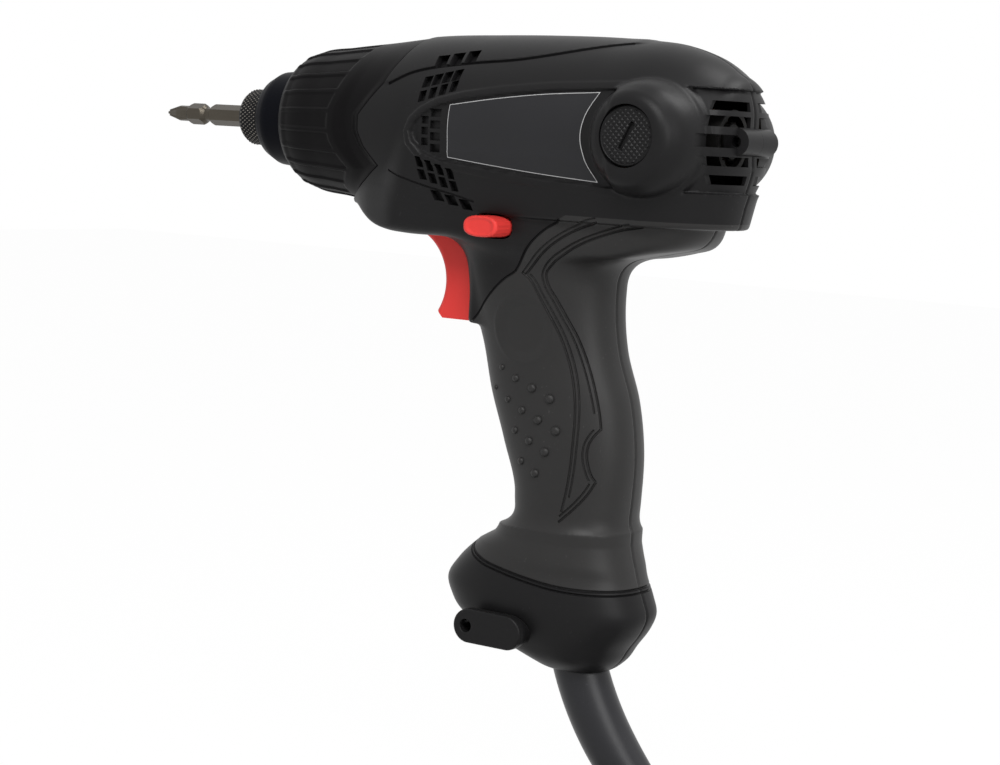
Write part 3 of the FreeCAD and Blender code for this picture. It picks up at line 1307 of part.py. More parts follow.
def build_bearings():
    bearing("front_bearing", number(f"{HUB_BACK} - bearing_width"))
    bearing("rear_bearing", number("rear_bearing_behind"))
    hub_front = f"{HUB_BACK} - bearing_width"
    keep("gear_plate", turned("bearing_plate", [
        (PLATE_FRONT, "spindle_bush_radius"), (f"{CARRIER_BACK} + carrier_hub_length + end_gap * 2",
                                               "spindle_bush_radius"),
        (f"{CARRIER_BACK} + carrier_hub_length + end_gap * 2", "bearing_radius - bearing_race"),
        (hub_front, "bearing_radius - bearing_race"), (hub_front, "bearing_radius"), (HUB_BACK,
                                                                                      "bearing_radius"),
        (HUB_BACK, "plate_hub_radius"), (f"{PLATE_FRONT} + plate_thick", "plate_hub_radius"),
        (f"{PLATE_FRONT} + plate_thick", "case_rear_radius"), (PLATE_FRONT, "case_rear_radius")]))
    bush_back = f"{CARRIER_BACK} + carrier_hub_length + end_gap * 2"
    keep("spindle_bush", turned("rear_bush", [
        (PLATE_FRONT, "carrier_hub_radius + running_fit"), (bush_back, "carrier_hub_radius + running_fit"),
        (bush_back, "spindle_bush_radius"), (PLATE_FRONT, "spindle_bush_radius")]))


# Edges of the field coils round a pole, degrees either side of the brush plane
COIL_EDGE_ANGLES = (6, 40)


def build_field():
    front, back = number(CORE_FRONT), number(CORE_BACK)
    bore = number("core_radius + air_gap")
    slot = number("field_slot_outer")
    inside = number("core_radius + air_gap * 2")
    low, high = COIL_EDGE_ANGLES
    core = disc(number("field_radius"), front, back).cut(disc(bore, front, back))
    for middle in (0, 180):
        core = core.cut(sector(bore - number("end_gap"), slot, middle - high, middle + high, front, back))
    feature("stator_core", core)
    coils = []
    reach = number("coil_end")
    for pole in (90, 270):
        sides = [sector(inside, slot, pole - 90 + low, pole - 90 + high, front - reach, back + reach),
                 sector(inside, slot, pole + 90 - high, pole + 90 - low, front - reach, back + reach)]
        ends = [sector(inside, slot, pole - 90 + high, pole + 90 - high, front - reach, front),
                sector(inside, slot, pole - 90 + high, pole + 90 - high, back, back + reach)]
        coils.append(sides[0].multiFuse(sides[1:] + ends))
    feature("field_coils", Part.makeCompound(coils))


def build_armature():
    front, back = number(CORE_FRONT), number(CORE_BACK)
    sun_front, sun_back = number(PLANET_FRONT), number(PLANET_BACK)
    thick_front = number(FAN_FRONT)
    thick_back = number(COMMUTATOR_BACK) + number("end_gap")
    shaft_back = number(SHAFT_BACK)
    sun = gear(SUN_TEETH, sun_pitch + addendum, sun_pitch - dedendum, backlash, sun_front, sun_back, 0)
    parts = [disc(number("shaft_radius"), sun_back, shaft_back),
             disc(number("core_shaft_radius"), thick_front, thick_back)]
    feature("armature_shaft", sun.multiFuse(parts))
    shaft = number("core_shaft_radius")
    bars = []
    for index in range(ARMATURE_SLOTS):
        bar = Part.makeCylinder(number("core_slot_radius"), back - front,
                                Vector(front, number("core_slot_circle"), 0), Vector(1, 0, 0))
        bars.append(around(bar, 360 / ARMATURE_SLOTS * index))
    core = disc(number("core_radius"), front, back).cut(disc(shaft, front, back)).cut(bars)
    mouth = Part.makeBox(back - front, number("core_radius"), number("core_slot_radius") / 2,
                         Vector(front, number("core_slot_circle"), -number("core_slot_radius") / 4))
    core = core.cut([around(mouth, 360 / ARMATURE_SLOTS * index).cut(bars[index])
                     for index in range(ARMATURE_SLOTS)])
    feature("armature_core", core)
    reach, radius = number("winding_end"), number("winding_radius")
    ends = [disc(radius, front - reach, front).cut(disc(shaft, front - reach, front)),
            disc(radius, back, back + reach).cut(disc(shaft, back, back + reach))]
    feature("armature_winding", ends[0].multiFuse(ends[1:] + bars))
    first, last = number(COMMUTATOR_FRONT), number(COMMUTATOR_BACK)
    drum = disc(number("commutator_radius"), first, last).cut(disc(shaft, first, last))
    gap = number("bar_slot_width")
    slot = Part.makeBox(last - first, number("commutator_radius"), gap,
                        Vector(first, number("commutator_radius") - gap * 2, -gap / 2))
    feature("commutator", drum.cut([around(slot, 360 / COMMUTATOR_BARS * index)
                                    for index in range(COMMUTATOR_BARS)]))
    start = number(FAN_FRONT)
    end = start + number("fan_width")
    plate = number("fan_plate")
    hub = number("core_shaft_radius + fan_blade * 3")
    blade_front = start
    blade = Part.makeBox(end - blade_front, number("fan_radius") - hub, number("fan_blade"),
                         Vector(blade_front, hub - number("end_gap"), 0))
    blades = [around(blade, 360 / FAN_BLADES * index) for index in range(FAN_BLADES)]
    fan = disc(number("fan_radius"), end - plate, end).multiFuse([disc(hub, start, end)] + blades)
    feature("fan", fan.cut(disc(shaft, start, end)))


def build_brush_gear():
    x = number("brush_behind")
    inner = number("holder_inner_end")
    cap_base = number("brush_boss_reach - cap_recess - brush_cap_depth")
    wide, high = number("brush_width + hex_fit * 2"), number("brush_height + hex_fit * 2")
    start = number("commutator_radius + running_fit")
    brush_end = start + number("brush_length")
    holders, brushes, springs = [], [], []
    for side in (1, -1):
        low, top = sorted((side * inner, side * cap_base))
        bore = Part.makeBox(wide, top - low, high, Vector(x - wide / 2, low, -high / 2))
        holders.append(across_rod(number("holder_radius"), low, top, x, 0).cut(bore))
        low, top = sorted((side * start, side * brush_end))
        brush = Part.makeBox(number("brush_width"), top - low, number("brush_height"),
                             Vector(x - number("brush_width / 2"), low, -number("brush_height / 2")))
        brushes.append(brush)
        coil = spring(number("brush_spring_radius"), number("brush_wire"), 6, brush_end, cap_base)
        coil.rotate(Vector(), Vector(0, 0, 1), 90 * side)
        coil.translate(Vector(x, 0, 0))
        springs.append(coil)
    feature("brush_holders", Part.makeCompound(holders))
    feature("carbon_brushes", Part.makeCompound(brushes))
    feature("brush_springs", Part.makeCompound(springs))
    head = "brush_boss_reach - cap_recess"
    for name, sign in (("right", ""), ("left", "-")):
        base = f"({head} - brush_cap_depth)" if sign == "" else f"(-({head}))"
        slot_start = f"({head} - cap_slot_width)" if sign == "" else f"(-({head}) - overrun)"
        cap = rod(name + "_cap_blank", "brush_cap_radius", "brush_cap_depth",
                  ("brush_behind", base, "axis_height"), "y")
        slot = block(name + "_cap_slot", ("brush_cap_radius * 1.5", "cap_slot_width + overrun",
                                          "cap_slot_width"),
                     ("brush_behind - brush_cap_radius * 0.75", slot_start,
                      "axis_height - cap_slot_width / 2"))
        keep(f"{name}_brush_cap", cut(name + "_cap", cap, slot))


def build_switch():
    front = "(-(trigger_back_ahead - trigger_travel - end_gap))"
    low = "(axis_height - chin_drop - shell_wall / 2 - switch_height)"
    middle = f"({low} + switch_height / 2)"
    box = block("switch_box", ("switch_length", "switch_width", "switch_height"),
                (front, "-switch_width / 2", low))
    hole = rod("plunger_hole", "plunger_radius + slide_gap", "plunger_length + trigger_travel",
               (f"{front} - overrun", "0", middle))
    pocket = rod("spring_pocket", "trigger_spring_radius + trigger_wire", "overrun * 2",
                 (f"{front} - overrun", "0", middle))
    keep("switch_body", cut("switch", box, hole, pocket))


def build_trigger():
    half = number("trigger_width / 2")
    top, foot = -number("trigger_top_drop"), -number("trigger_foot_drop")
    lip, waist = -number("trigger_ahead"), -number("trigger_waist_ahead")
    toe, back = -number("trigger_foot_ahead"), -number("trigger_back_ahead")
    height = top - foot
    high = Vector(lip, -half, top)
    low = Vector(toe, -half, foot + height * 0.1)
    corner = Vector(toe + height * 0.1, -half, foot)
    hollow = Part.Arc(high, Vector(waist, -half, top - height * 0.42), low).toShape()
    others = runs([low, corner, Vector(back, -half, foot), Vector(back, -half, top), high])
    paddle = Part.Face(Part.Wire([hollow] + others)).extrude(Vector(0, 2 * half, 0))
    front_edges = []
    for edge in paddle.Edges:
        middle = edge.CenterOfMass
        if (abs(abs(middle.y) - half) < 1e-6 and middle.x < waist + height * 0.2
                and middle.z > foot + height * 0.2 and middle.z < top - height * 0.1):
            front_edges.append(edge)
    paddle = paddle.makeFillet(height * 0.08, front_edges)
    switch_low = -number("chin_drop + shell_wall / 2 + switch_height")
    plunger_z = switch_low + number("switch_height / 2")
    length = number("plunger_length")
    plunger = Part.makeCylinder(number("plunger_radius"), length, Vector(back, 0, plunger_z),
                                Vector(1, 0, 0))
    feature("trigger", paddle.fuse(plunger))
    pocket_end = number("overrun") - number("trigger_back_ahead - trigger_travel - end_gap")
    coil = spring(number("trigger_spring_radius"), number("trigger_wire"), 4, back, pocket_end)
    coil.translate(Vector(0, 0, plunger_z))
    feature("trigger_spring", coil)
    feature("reverse_lever", lever_bar(0, -number("lever_left"), number("lever_right")))


# Mains lead

CORD_LEANS = (58, 74, 90)
CORD_RUN_SHARES = (0.375, 0.458, 0.375)


def cord_points():
    """Corners of the lead's free run, from the guard down to the floor."""
    place, lean = guard_path(1)
    points = [place]
    for degrees, share in zip(CORD_LEANS, CORD_RUN_SHARES):
        place = place + lean_vector(degrees) * (number("cord_run") * share)
        points.append(place)
    return points


def rounded(points):
    """Straight runs joined by tangent arcs; returns the edges and the arc radii."""
    edges, radii = [], []
    start = points[0]
    for before, corner, after in zip(points, points[1:], points[2:]):
        back, onward = before - corner, after - corner
        reach = 0.45 * min(back.Length, onward.Length)
        turn = math.pi - back.getAngle(onward)
        radii.append(reach / math.tan(turn / 2))
        first = corner + back.normalize() * reach
        last = corner + onward.normalize() * reach
        edges.append(Part.LineSegment(start, first).toShape())
        edges.append(tangent_arc(first, (corner - first).normalize(), last))
        start = last
    edges.append(Part.LineSegment(start, points[-1]).toShape())
    return edges, radii


COIL_QUARTERS = 30
COIL_LAYERS = 4
LAYER_QUARTERS = 8
OUTER_DROP_SHARE = 0.625
TAIL_TURN = 35
TAIL_BEND_SHARE = 1.1


def coil_widest():
    return number("coil_inner_radius") + number("coil_step") * LAYER_QUARTERS / 4


def coil_depth(quarter):
    """Layers below the top one: one down at the first inner end, two at the outer end, one up at the last."""
    first, outer, last = [min(max((quarter - LAYER_QUARTERS * turn + 1) / 2, 0), 1) for turn in (1, 2, 3)]
    if 0 < outer < 1:
        outer = OUTER_DROP_SHARE
    return first + 2 * outer - last


def coil_places(start):
    """Quarter turns of the coil, wound from the top: in, out, then in on the floor and out above that."""
    step, least = number("coil_step"), number("coil_inner_radius")
    heart = start + Vector(0, -coil_widest(), 0)
    places = []
    for quarter in range(COIL_QUARTERS + 1):
        angle = math.pi / 2 - math.pi / 2 * quarter
        layer, place_in_layer = divmod(quarter, LAYER_QUARTERS)
        inwards = layer % 2 == 0
        radius = least + step * (LAYER_QUARTERS - place_in_layer if inwards else place_in_layer) / 4
        depth = coil_depth(quarter) * step
        place = heart + Vector(radius * math.cos(angle), radius * math.sin(angle), -depth)
        turning = place_in_layer == 0 or quarter == COIL_QUARTERS
        outward = 0 if turning else math.copysign(step / (2 * math.pi), -1 if inwards else 1)
        rise = (coil_depth(quarter - 1) - coil_depth(quarter + 1)) * step / math.pi if turning else 0
        along = Vector(radius * math.sin(angle) + outward * math.cos(angle),
                       -radius * math.cos(angle) + outward * math.sin(angle), rise)
        places.append((place, along.normalize()))
    return places


def coil_edges(start):
    """Middle line of the coil with straight ends of one diameter, and where the plug begins."""
    lead = number("cord_diameter")
    places = coil_places(start + Vector(lead, 0, 0))
    edges = [Part.LineSegment(start, places[0][0]).toShape()] + wound(places)
    last, along = places[-1]
    turn = math.radians(TAIL_TURN)
    bend = coil_widest() * TAIL_BEND_SHARE
    leave = last + Vector(along.x * bend * math.sin(turn), bend * (1 - math.cos(turn)), 0)
    away = Vector(along.x * math.cos(turn), math.sin(turn), 0)
    edges.append(tangent_arc(last, along, leave))
    plug = leave + away * number("cord_run * 1.5")
    edges.append(Part.LineSegment(leave, plug).toShape())
    return edges, plug, away


def least_gap(edges):
    """Least distance between parts of the coil that are not neighbours, less one diameter."""
    spots = []
    travelled = 0
    for edge in edges:
        count = max(2, int(edge.Length / 2))
        for index in range(count):
            share = index / count
            parameter = edge.FirstParameter + (edge.LastParameter - edge.FirstParameter) * share
            spots.append((travelled + edge.Length * share, edge.valueAt(parameter)))
        travelled += edge.Length
    diameter = number("cord_diameter")
    least = travelled
    for index, (along, spot) in enumerate(spots):
        for further, other in spots[index + 1:]:
            if further - along > diameter * 6:
                least = min(least, (other - spot).Length)
    return least - diameter


def build_cord():
    radius = number("cord_diameter / 2")
    points = cord_points()
    edges, radii = rounded(points)
    feature("cord", tube(edges, radius))
    print("cord arc radii", [round(value, 1) for value in radii])
    edges, plug, away = coil_edges(points[-1])
    feature("cord_coil", tube(edges, radius))
    length = sum(edge.Length for edge in edges)
    print("coil length", round(length), "least coil gap", round(least_gap(edges), 2))
    # Tie round the bundle on the far side of the loops
    wall, gap, wide = number("tie_wall"), number("tie_gap"), number("tie_width")
    step, least = number("coil_step"), number("coil_inner_radius")
    heart = points[-1] + Vector(number("cord_diameter"), -coil_widest(), 0)
    inner, outer = least + step / 2 - radius - gap, coil_widest() - step / 2 + radius + gap
    low, high = -step * (COIL_LAYERS - 1) - radius - gap, radius + gap
    room = Part.makeBox(wide, outer - inner, high - low, heart + Vector(-wide / 2, -outer, low))
    strap = Part.makeBox(wide, outer - inner + 2 * wall, high - low + 2 * wall,
                         heart + Vector(-wide / 2, -outer - wall, low - wall))
    feature("cord_tie", strap.cut(room))
    build_plug(plug, away)


PLUG_STATION_SHARES = [0, 0.3, 0.62, 0.78, 1]
PLUG_WIDTH_SHARES = [0.3, 0.42, 0.86, 1, 1]
PLUG_HEIGHT_SHARES = [0.5, 0.62, 0.9, 1, 1]


def build_plug(start, away):
    """Flat two-pin plug; drawn along X, then turned to its place."""
    length, width, radius = number("plug_length"), number("plug_flat_width / 2"), number("plug_radius")
    rings = []
    for along, wide, high in zip(PLUG_STATION_SHARES, PLUG_WIDTH_SHARES, PLUG_HEIGHT_SHARES):
        ring = level_section(0, -radius * high, radius * high, width * wide)
        ring.rotate(Vector(), Vector(0, 1, 0), 90)
        ring.translate(Vector(length * along, 0, 0))
        rings.append(ring)
    pins = []
    for side in (-1, 1):
        root, shoulder = number("pin_root"), number("end_gap")
        place = Vector(length - root, side * number("pin_spacing / 2"), 0)
        thin = Part.makeCylinder(number("pin_root_radius"), root + shoulder, place, Vector(1, 0, 0))
        pin = Part.makeCylinder(number("pin_radius"), number("pin_length") - shoulder,
                                place + Vector(root + shoulder, 0, 0), Vector(1, 0, 0))
        pins.append(thin.fuse(pin))
    body = Part.makeLoft(rings, True, False).cut(pins)
    for label, shape in (("plug_body", body), ("plug_pins", Part.makeCompound(pins))):
        shape.rotate(Vector(), Vector(0, 0, 1), math.degrees(math.atan2(away.y, away.x)))
        shape.translate(start)
        feature(label, shape)


build_housing()
build_boot()
build_nose()
build_ring_gear()
build_planets()
cam_place = build_spindle()
build_hammer(cam_place)
build_anvil()
build_bit()
build_chuck()
build_bearings()
build_field()
build_armature()
build_brush_gear()
build_switch()
build_trigger()
build_lug()
build_guard()
build_clamp()
build_cord()

# Check and export
doc.recompute()
os.makedirs("parts", exist_ok=True)
for item in doc.Objects:
    if "Invalid" in item.State or "Error" in item.State:
        raise ValueError(f"{item.Label} did not build")
for piece in pieces:
    if piece.Shape.isNull() or not piece.Shape.isValid():
        raise ValueError(f"{piece.Label} has no valid shape")
    piece.Shape.exportStep(f"parts/{piece.Label}.step")
    box = piece.Shape.optimalBoundingBox(False)
    print(f"{piece.Label:20s} solids {len(piece.Shape.Solids)} volume {piece.Shape.Volume:9.1f}"
          f" x {box.XMin:7.1f} {box.XMax:7.1f} y {box.YMin:7.1f} {box.YMax:7.1f}"
          f" z {box.ZMin:7.1f} {box.ZMax:7.1f}")
print(len(pieces), "pieces")
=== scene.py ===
"""Looks of the electric screwdriver: shells, soft skins, knurled chuck, lead and stage on its frame."""

import json
import math

import bmesh
import bpy
import numpy as np
from bpy.props import FloatProperty, FloatVectorProperty, IntProperty, PointerProperty
from bpy.types import Operator, Panel, PropertyGroup
from mathutils import Matrix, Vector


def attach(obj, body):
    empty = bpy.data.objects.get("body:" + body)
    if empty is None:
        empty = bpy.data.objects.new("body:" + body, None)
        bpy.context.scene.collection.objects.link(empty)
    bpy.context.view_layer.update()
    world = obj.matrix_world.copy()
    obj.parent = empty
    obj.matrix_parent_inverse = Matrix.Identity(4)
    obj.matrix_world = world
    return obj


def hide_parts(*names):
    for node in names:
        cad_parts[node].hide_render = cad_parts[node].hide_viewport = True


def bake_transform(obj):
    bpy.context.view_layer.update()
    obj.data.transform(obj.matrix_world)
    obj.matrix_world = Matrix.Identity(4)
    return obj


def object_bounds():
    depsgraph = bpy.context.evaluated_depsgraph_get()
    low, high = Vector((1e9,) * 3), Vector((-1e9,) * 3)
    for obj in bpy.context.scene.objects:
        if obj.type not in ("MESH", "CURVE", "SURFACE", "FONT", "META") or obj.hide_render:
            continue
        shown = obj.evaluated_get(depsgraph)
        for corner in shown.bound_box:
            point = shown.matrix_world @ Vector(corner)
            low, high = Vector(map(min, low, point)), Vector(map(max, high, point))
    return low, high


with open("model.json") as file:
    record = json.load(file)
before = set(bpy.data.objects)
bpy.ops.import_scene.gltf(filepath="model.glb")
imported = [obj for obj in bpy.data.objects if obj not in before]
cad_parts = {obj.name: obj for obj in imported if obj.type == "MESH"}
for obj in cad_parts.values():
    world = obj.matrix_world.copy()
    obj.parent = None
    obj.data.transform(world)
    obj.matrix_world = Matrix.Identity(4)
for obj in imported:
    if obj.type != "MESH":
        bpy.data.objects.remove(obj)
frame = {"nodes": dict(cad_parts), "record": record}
CAD_BOX = [list(corner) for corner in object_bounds()]

bl_info = {
    "name": "Electric screwdriver looks",
    "version": (1, 0, 0),
    "blender": (4, 5, 0),
    "location": "View3D > Sidebar > Screwdriver",
    "description": "Moulded shells, soft skins, knurled chuck, lead and stage of an electric screwdriver",
    "category": "Object",
}


def length_property(name, description, default):
    """Setting for a length in metres."""
    return FloatProperty(name=name, description=description, default=default, unit="LENGTH")


def colour_property(name, description, default):
    """Setting for a linear colour."""
    return FloatVectorProperty(name=name, description=description, default=default, subtype="COLOR", size=3)


class ShellSettings(PropertyGroup):
    """Sizes of the moulded shells."""
    pitch: length_property("Mesh pitch", "Spacing of the points on the shells", 0.0006)
    wall: length_property("Wall", "Wall of the housing halves", 0.0026)
    skin: length_property("Skin", "Thickness of the soft grip skin", 0.002)
    groove: length_property("Groove width", "Width of the moulded lines", 0.00085)
    groove_depth: length_property("Groove depth", "Depth of the moulded lines", 0.0006)
    ribs: IntProperty(name="Boot ribs", description="Ribs round the nose boot", default=24)
    knurls: IntProperty(name="Knurls", description="Diamonds round the chuck sleeve", default=44)


class FinishSettings(PropertyGroup):
    """Colours of the finishes."""
    housing: colour_property("Housing", "Moulded nylon", (0.0070, 0.0068, 0.0071))
    rubber: colour_property("Grip skin", "Soft overmould", (0.0150, 0.0145, 0.0143))
    boot: colour_property("Nose boot", "Ridged boot", (0.0036, 0.0033, 0.0036))
    nose: colour_property("Nose ring", "Front ring", (0.0026, 0.0029, 0.0046))
    red: colour_property("Trigger", "Trigger and lever", (0.56, 0.036, 0.031))
    plate: colour_property("Name plate", "Bare plate", (0.0125, 0.0125, 0.0140))
    line: colour_property("Plate line", "Fine border of the plate", (0.36, 0.36, 0.36))
    lead: colour_property("Lead", "Cord, guard and plug", (0.0115, 0.0115, 0.0135))
    bit: colour_property("Bit", "Tan grey steel", (0.078, 0.069, 0.056))


class LeadSettings(PropertyGroup):
    """Sizes of the mains lead."""
    diameter: length_property("Cord", "Diameter of the cord", 0.007)
    quarters: IntProperty(name="Quarters", description="Quarter turns of the put-away coil", default=30)
    points: IntProperty(name="Points", description="Control points in a quarter turn", default=3)


class StageSettings(PropertyGroup):
    """Light and floor."""
    floor: length_property("Floor", "Level of the floor", CAD_BOX[0][2])
    key: FloatProperty(name="Key light", description="Power of the key panel", default=12.0, unit="POWER")
    fill: FloatProperty(name="Fill light", description="Power of the fill panel", default=5.0, unit="POWER")
    rim: FloatProperty(name="Rim light", description="Power of the rear panel", default=6.0, unit="POWER")
    ambient: FloatProperty(name="Ambient", description="Even light on the object", default=0.45)


# Shapes are worked out in millimetres about the tool axis, which lies this high
AXIS_HEIGHT = 90.0


def metres(points):
    """Millimetres about the tool axis to metres in the frame."""
    return (np.asarray(points, float) + (0.0, 0.0, AXIS_HEIGHT)) / 1000.0


def through(stations, values):
    """Smooth function through the stations: between neighbours a cubic whose slope at each station is that of
    its two neighbours, and level beyond the ends."""
    xs = np.asarray(stations, float)
    ys = np.asarray(values, float)
    slopes = np.gradient(ys, xs)

    def at(where):
        q = np.clip(where, xs[0], xs[-1])
        i = np.clip(np.searchsorted(xs, q) - 1, 0, len(xs) - 2)
        step = xs[i + 1] - xs[i]
        t = (q - xs[i]) / step
        rise = ys[i + 1] - ys[i]
        a = slopes[i] * step - rise
        b = rise - slopes[i + 1] * step
        return ys[i] + t * rise + t * (1 - t) * ((1 - t) * a + t * b)

    return at


def ease(value):
    """Soft step from 0 to 1: three squares less two cubes of the value, held between 0 and 1."""
    t = np.clip(value, 0.0, 1.0)
    return t * t * (3 - 2 * t)


def merge(a, b, k):
    """Union of two distance fields with a fillet about k wide: the lesser, less h squared over four k, where
    h is what the difference lacks of k."""
    h = np.maximum(k - np.abs(a - b), 0)
    return np.minimum(a, b) - h * h / (4 * k)


def meet(a, b, k):
    """Common part of two distance fields with an edge rounded about k wide."""
    h = np.maximum(k - np.abs(a - b), 0)
    return np.maximum(a, b) + h * h / (4 * k)


def line_distance(u, v, corners):
    """Distance of side-view places to a line through corners: the least over its runs."""
    best = np.full(np.shape(u), 1e9)
    for (x0, z0), (x1, z1) in zip(corners[:-1], corners[1:]):
        dx, dz = x1 - x0, z1 - z0
        t = np.clip(((u - x0) * dx + (v - z0) * dz) / (dx * dx + dz * dz), 0, 1)
        best = np.minimum(best, np.hypot(u - x0 - t * dx, v - z0 - t * dz))
    return best


# Motor body: radius along the axis
BODY_END = 61.2
BODY_RADIUS = through([-95, -90, -70, -52.8, -30, -8.4, 15, 36, 42, 47.84, 53.5, 58.68, 61.2],
                      [23.9, 24.4, 26.7, 28.57, 29.4, 29.7, 29.4, 28.07, 26.5, 24.2, 20.6, 16.0, 9.8])
# Front of the lower body in plan, and its underside
BOW = through([0, 1.47, 10.5, 18.4, 23.5, 31.85], [-88.2, -88, -79.64, -69.1, -58.1, -44])
UNDERSIDE = through([-95, -88, -76, -65.56, -58, -52.8, -35, -17.6, 0, 19, 35, 45.5, 50, 55],
                    [-19.6, -22.4, -27.7, -31.9, -33.8, -34.2, -34.2, -34.4, -36, -37.8, -35, -32.2, -29.5,
                     -26])
# Brush boss: place, top, and its radius over the distance from the middle plane
BOSS_X, BOSS_Z, BOSS_TOP, BOSS_FOOT_R = 36.0, -0.7, 35.0, 18.3
BOSS_RADIUS = through([12, 21, 25, 29.5, 33, 35.2], [18.8, 18.2, 17.5, 16.1, 14.0, 12.5])
# Depth of the foot of the base under the axis
DROP = 167.5
# Level sections of grip and base: share of the drop, front, rear and width as shares of length and width
GRIP = [(0.17, -0.8, 0.36, 1.2), (0.26, -0.72, 0.325, 1.12), (0.33, -0.66, 0.325, 1.06),
        (0.4, -0.58, 0.365, 1.0), (0.49, -0.5, 0.47, 1.0), (0.58, -0.385, 0.52, 1.0),
        (0.68, -0.275, 0.515, 1.0), (0.735, -0.295, 0.5, 1.04), (0.775, -0.47, 0.5, 1.1)]
BASE = [(0.755, -0.235, 0.325, 0.8), (0.79, -0.385, 0.365, 0.9), (0.825, -0.465, 0.405, 0.97),
        (0.855, -0.505, 0.435, 1.0), (0.885, -0.485, 0.455, 1.0), (0.915, -0.43, 0.43, 0.97),
        (0.95, -0.27, 0.375, 0.86), (0.98, -0.1, 0.33, 0.7), (1.0, 0.0, 0.28, 0.5)]


def column(shares, length, width):
    """Front, rear and half width of a level section as functions of the depth under the axis."""
    down, front, rear, wide = np.array(shares).T
    depth = down * DROP
    return through(depth, front * length), through(depth, rear * length), through(depth, wide * width / 2)


GRIP_AT = column(GRIP, 50.0, 33.0)
BASE_AT = column(BASE, 74.0, 42.0)


def slant(profile, where):
    """Slant of a profile: the root of one and its slope squared, from places to both sides."""
    slope = (profile(where + 0.2) - profile(where - 0.2)) / 0.4
    return np.sqrt(1 + slope * slope)


def body_field(x, ay, z):
    """Distance to the motor body: radial distance less the radius, over the slant of the profile."""
    return meet((np.hypot(ay, z) - BODY_RADIUS(x)) / slant(BODY_RADIUS, x), x - BODY_END, 1.0)


def plan_field(x, ay, rear, half):
    """Distance in plan to a straight body with a round rear end."""
    centre = rear - half
    return np.where(x > centre, np.hypot(x - centre, ay) - half, ay - half)


def skirt_field(x, ay, z):
    """Sides of the body below the axis, leaning in towards their lower edge."""
    t = np.clip((-5.94 - z) / 20.56, 0, 1)
    d = plan_field(x, ay, 61.5 - 4.5 * t, 28.87 - 4.37 * t) * 0.97
    d = np.maximum(meet(d, -26.5 - z, 1.4), (z + 5.9) * 0.3)
    return meet(d, (BOW(ay) - x) * 0.8, 2.5)


def chin_field(x, ay, z):
    """Lower body over the trigger: between its underside and its plan, wider in front."""
    d = (UNDERSIDE(x) - z) / slant(UNDERSIDE, x)
    half = 21.5 + 2.9 * ease((-12.0 - x) / 22.0)
    d = meet(d, plan_field(x, ay, 50.0, half), 6.0)
    return np.maximum(meet(d, (BOW(ay) - x) * 0.8, 2.5), z + 20)


def boss_field(x, ay, z):
    """Bell of the brush boss on each side: radial distance less the radius, over the slant of the profile."""
    d = (np.hypot(x - BOSS_X, z - BOSS_Z) - BOSS_RADIUS(ay)) / slant(BOSS_RADIUS, ay)
    return meet(meet(d, ay - BOSS_TOP, 2.4), 12 - ay, 1.0)


def cheek_field(x, ay, z):
    """Cheek beside the trigger: a block with a rounded front edge."""
    d = meet(ay - 13.6, -31.6 - x, 4.0)
    return meet(d, np.maximum(x + 12.0, np.maximum(-61.4 - z, z + 36.0)), 1.4)


def column_field(x, ay, z, at, top, low):
    """Distance to a column of rounded level sections, superellipses of power 2.5."""
    front, rear, half = (side(-z) for side in at)
    dx = np.abs(x - (front + rear) / 2)
    q = ((dx / ((rear - front) / 2)) ** 2.5 + (ay / half) ** 2.5) ** 0.4
    d = np.hypot(dx, ay) * (1 - 1 / np.maximum(q, 0.05))
    return meet(np.maximum(d, z - top), low - z, 1.5)


# Outline of the oval round the plate in side view, from the upper rear round the front to the lower rear
OVAL = [(30.0, 15.2), (5.0, 14.0), (-13.0, 12.2), (-26.6, 10.1), (-35.9, 7.8), (-41.5, 4.9), (-45.2, 1.6),
        (-46.6, -2.0), (-45.6, -5.6), (-42.1, -9.3), (-35.0, -11.7), (-17.6, -13.8), (1.2, -15.7),
        (30.0, -17.2)]
# Thumb dish: place in side view and radius
THUMB = (-7.3, -60.9, 10.4)
# Lower edge of the top cover in side view
SPINE_LINE = [(-57.0, 12.4), (-49.0, 16.2), (-41.5, 18.0), (-34.3, 19.0), (-26.4, 19.9), (-11.7, 21.3),
              (-0.5, 23.2), (9.6, 25.3), (18.4, 27.0), (23.0, 27.6)]
SPINE = through(*zip(*SPINE_LINE))
# Upper moulded line round the base: height over the length
BASE_LINE = through([-40, -32, -27, -22.8, -17.8, -8.7, 1.7, 11.1, 19.3, 26, 34],
                    [-120.5, -124.6, -129.2, -132.2, -134.2, -136.2, -137.9, -139, -139.4, -139.4, -139.2])


def oval_depth(x, z):
    """Distance inside the oval: to its line, with the sign of being between its upper and lower runs."""
    runs = np.array(OVAL)
    front = int(np.argmin(runs[:, 0]))
    upper = np.interp(x, runs[:front + 1][::-1, 0], runs[:front + 1][::-1, 1])
    lower = np.interp(x, runs[front:, 0], runs[front:, 1])
    inside = (x > runs[front, 0]) & (z < upper) & (z > lower)
    away = line_distance(x, z, OVAL)
    return np.where(inside, away, -away)


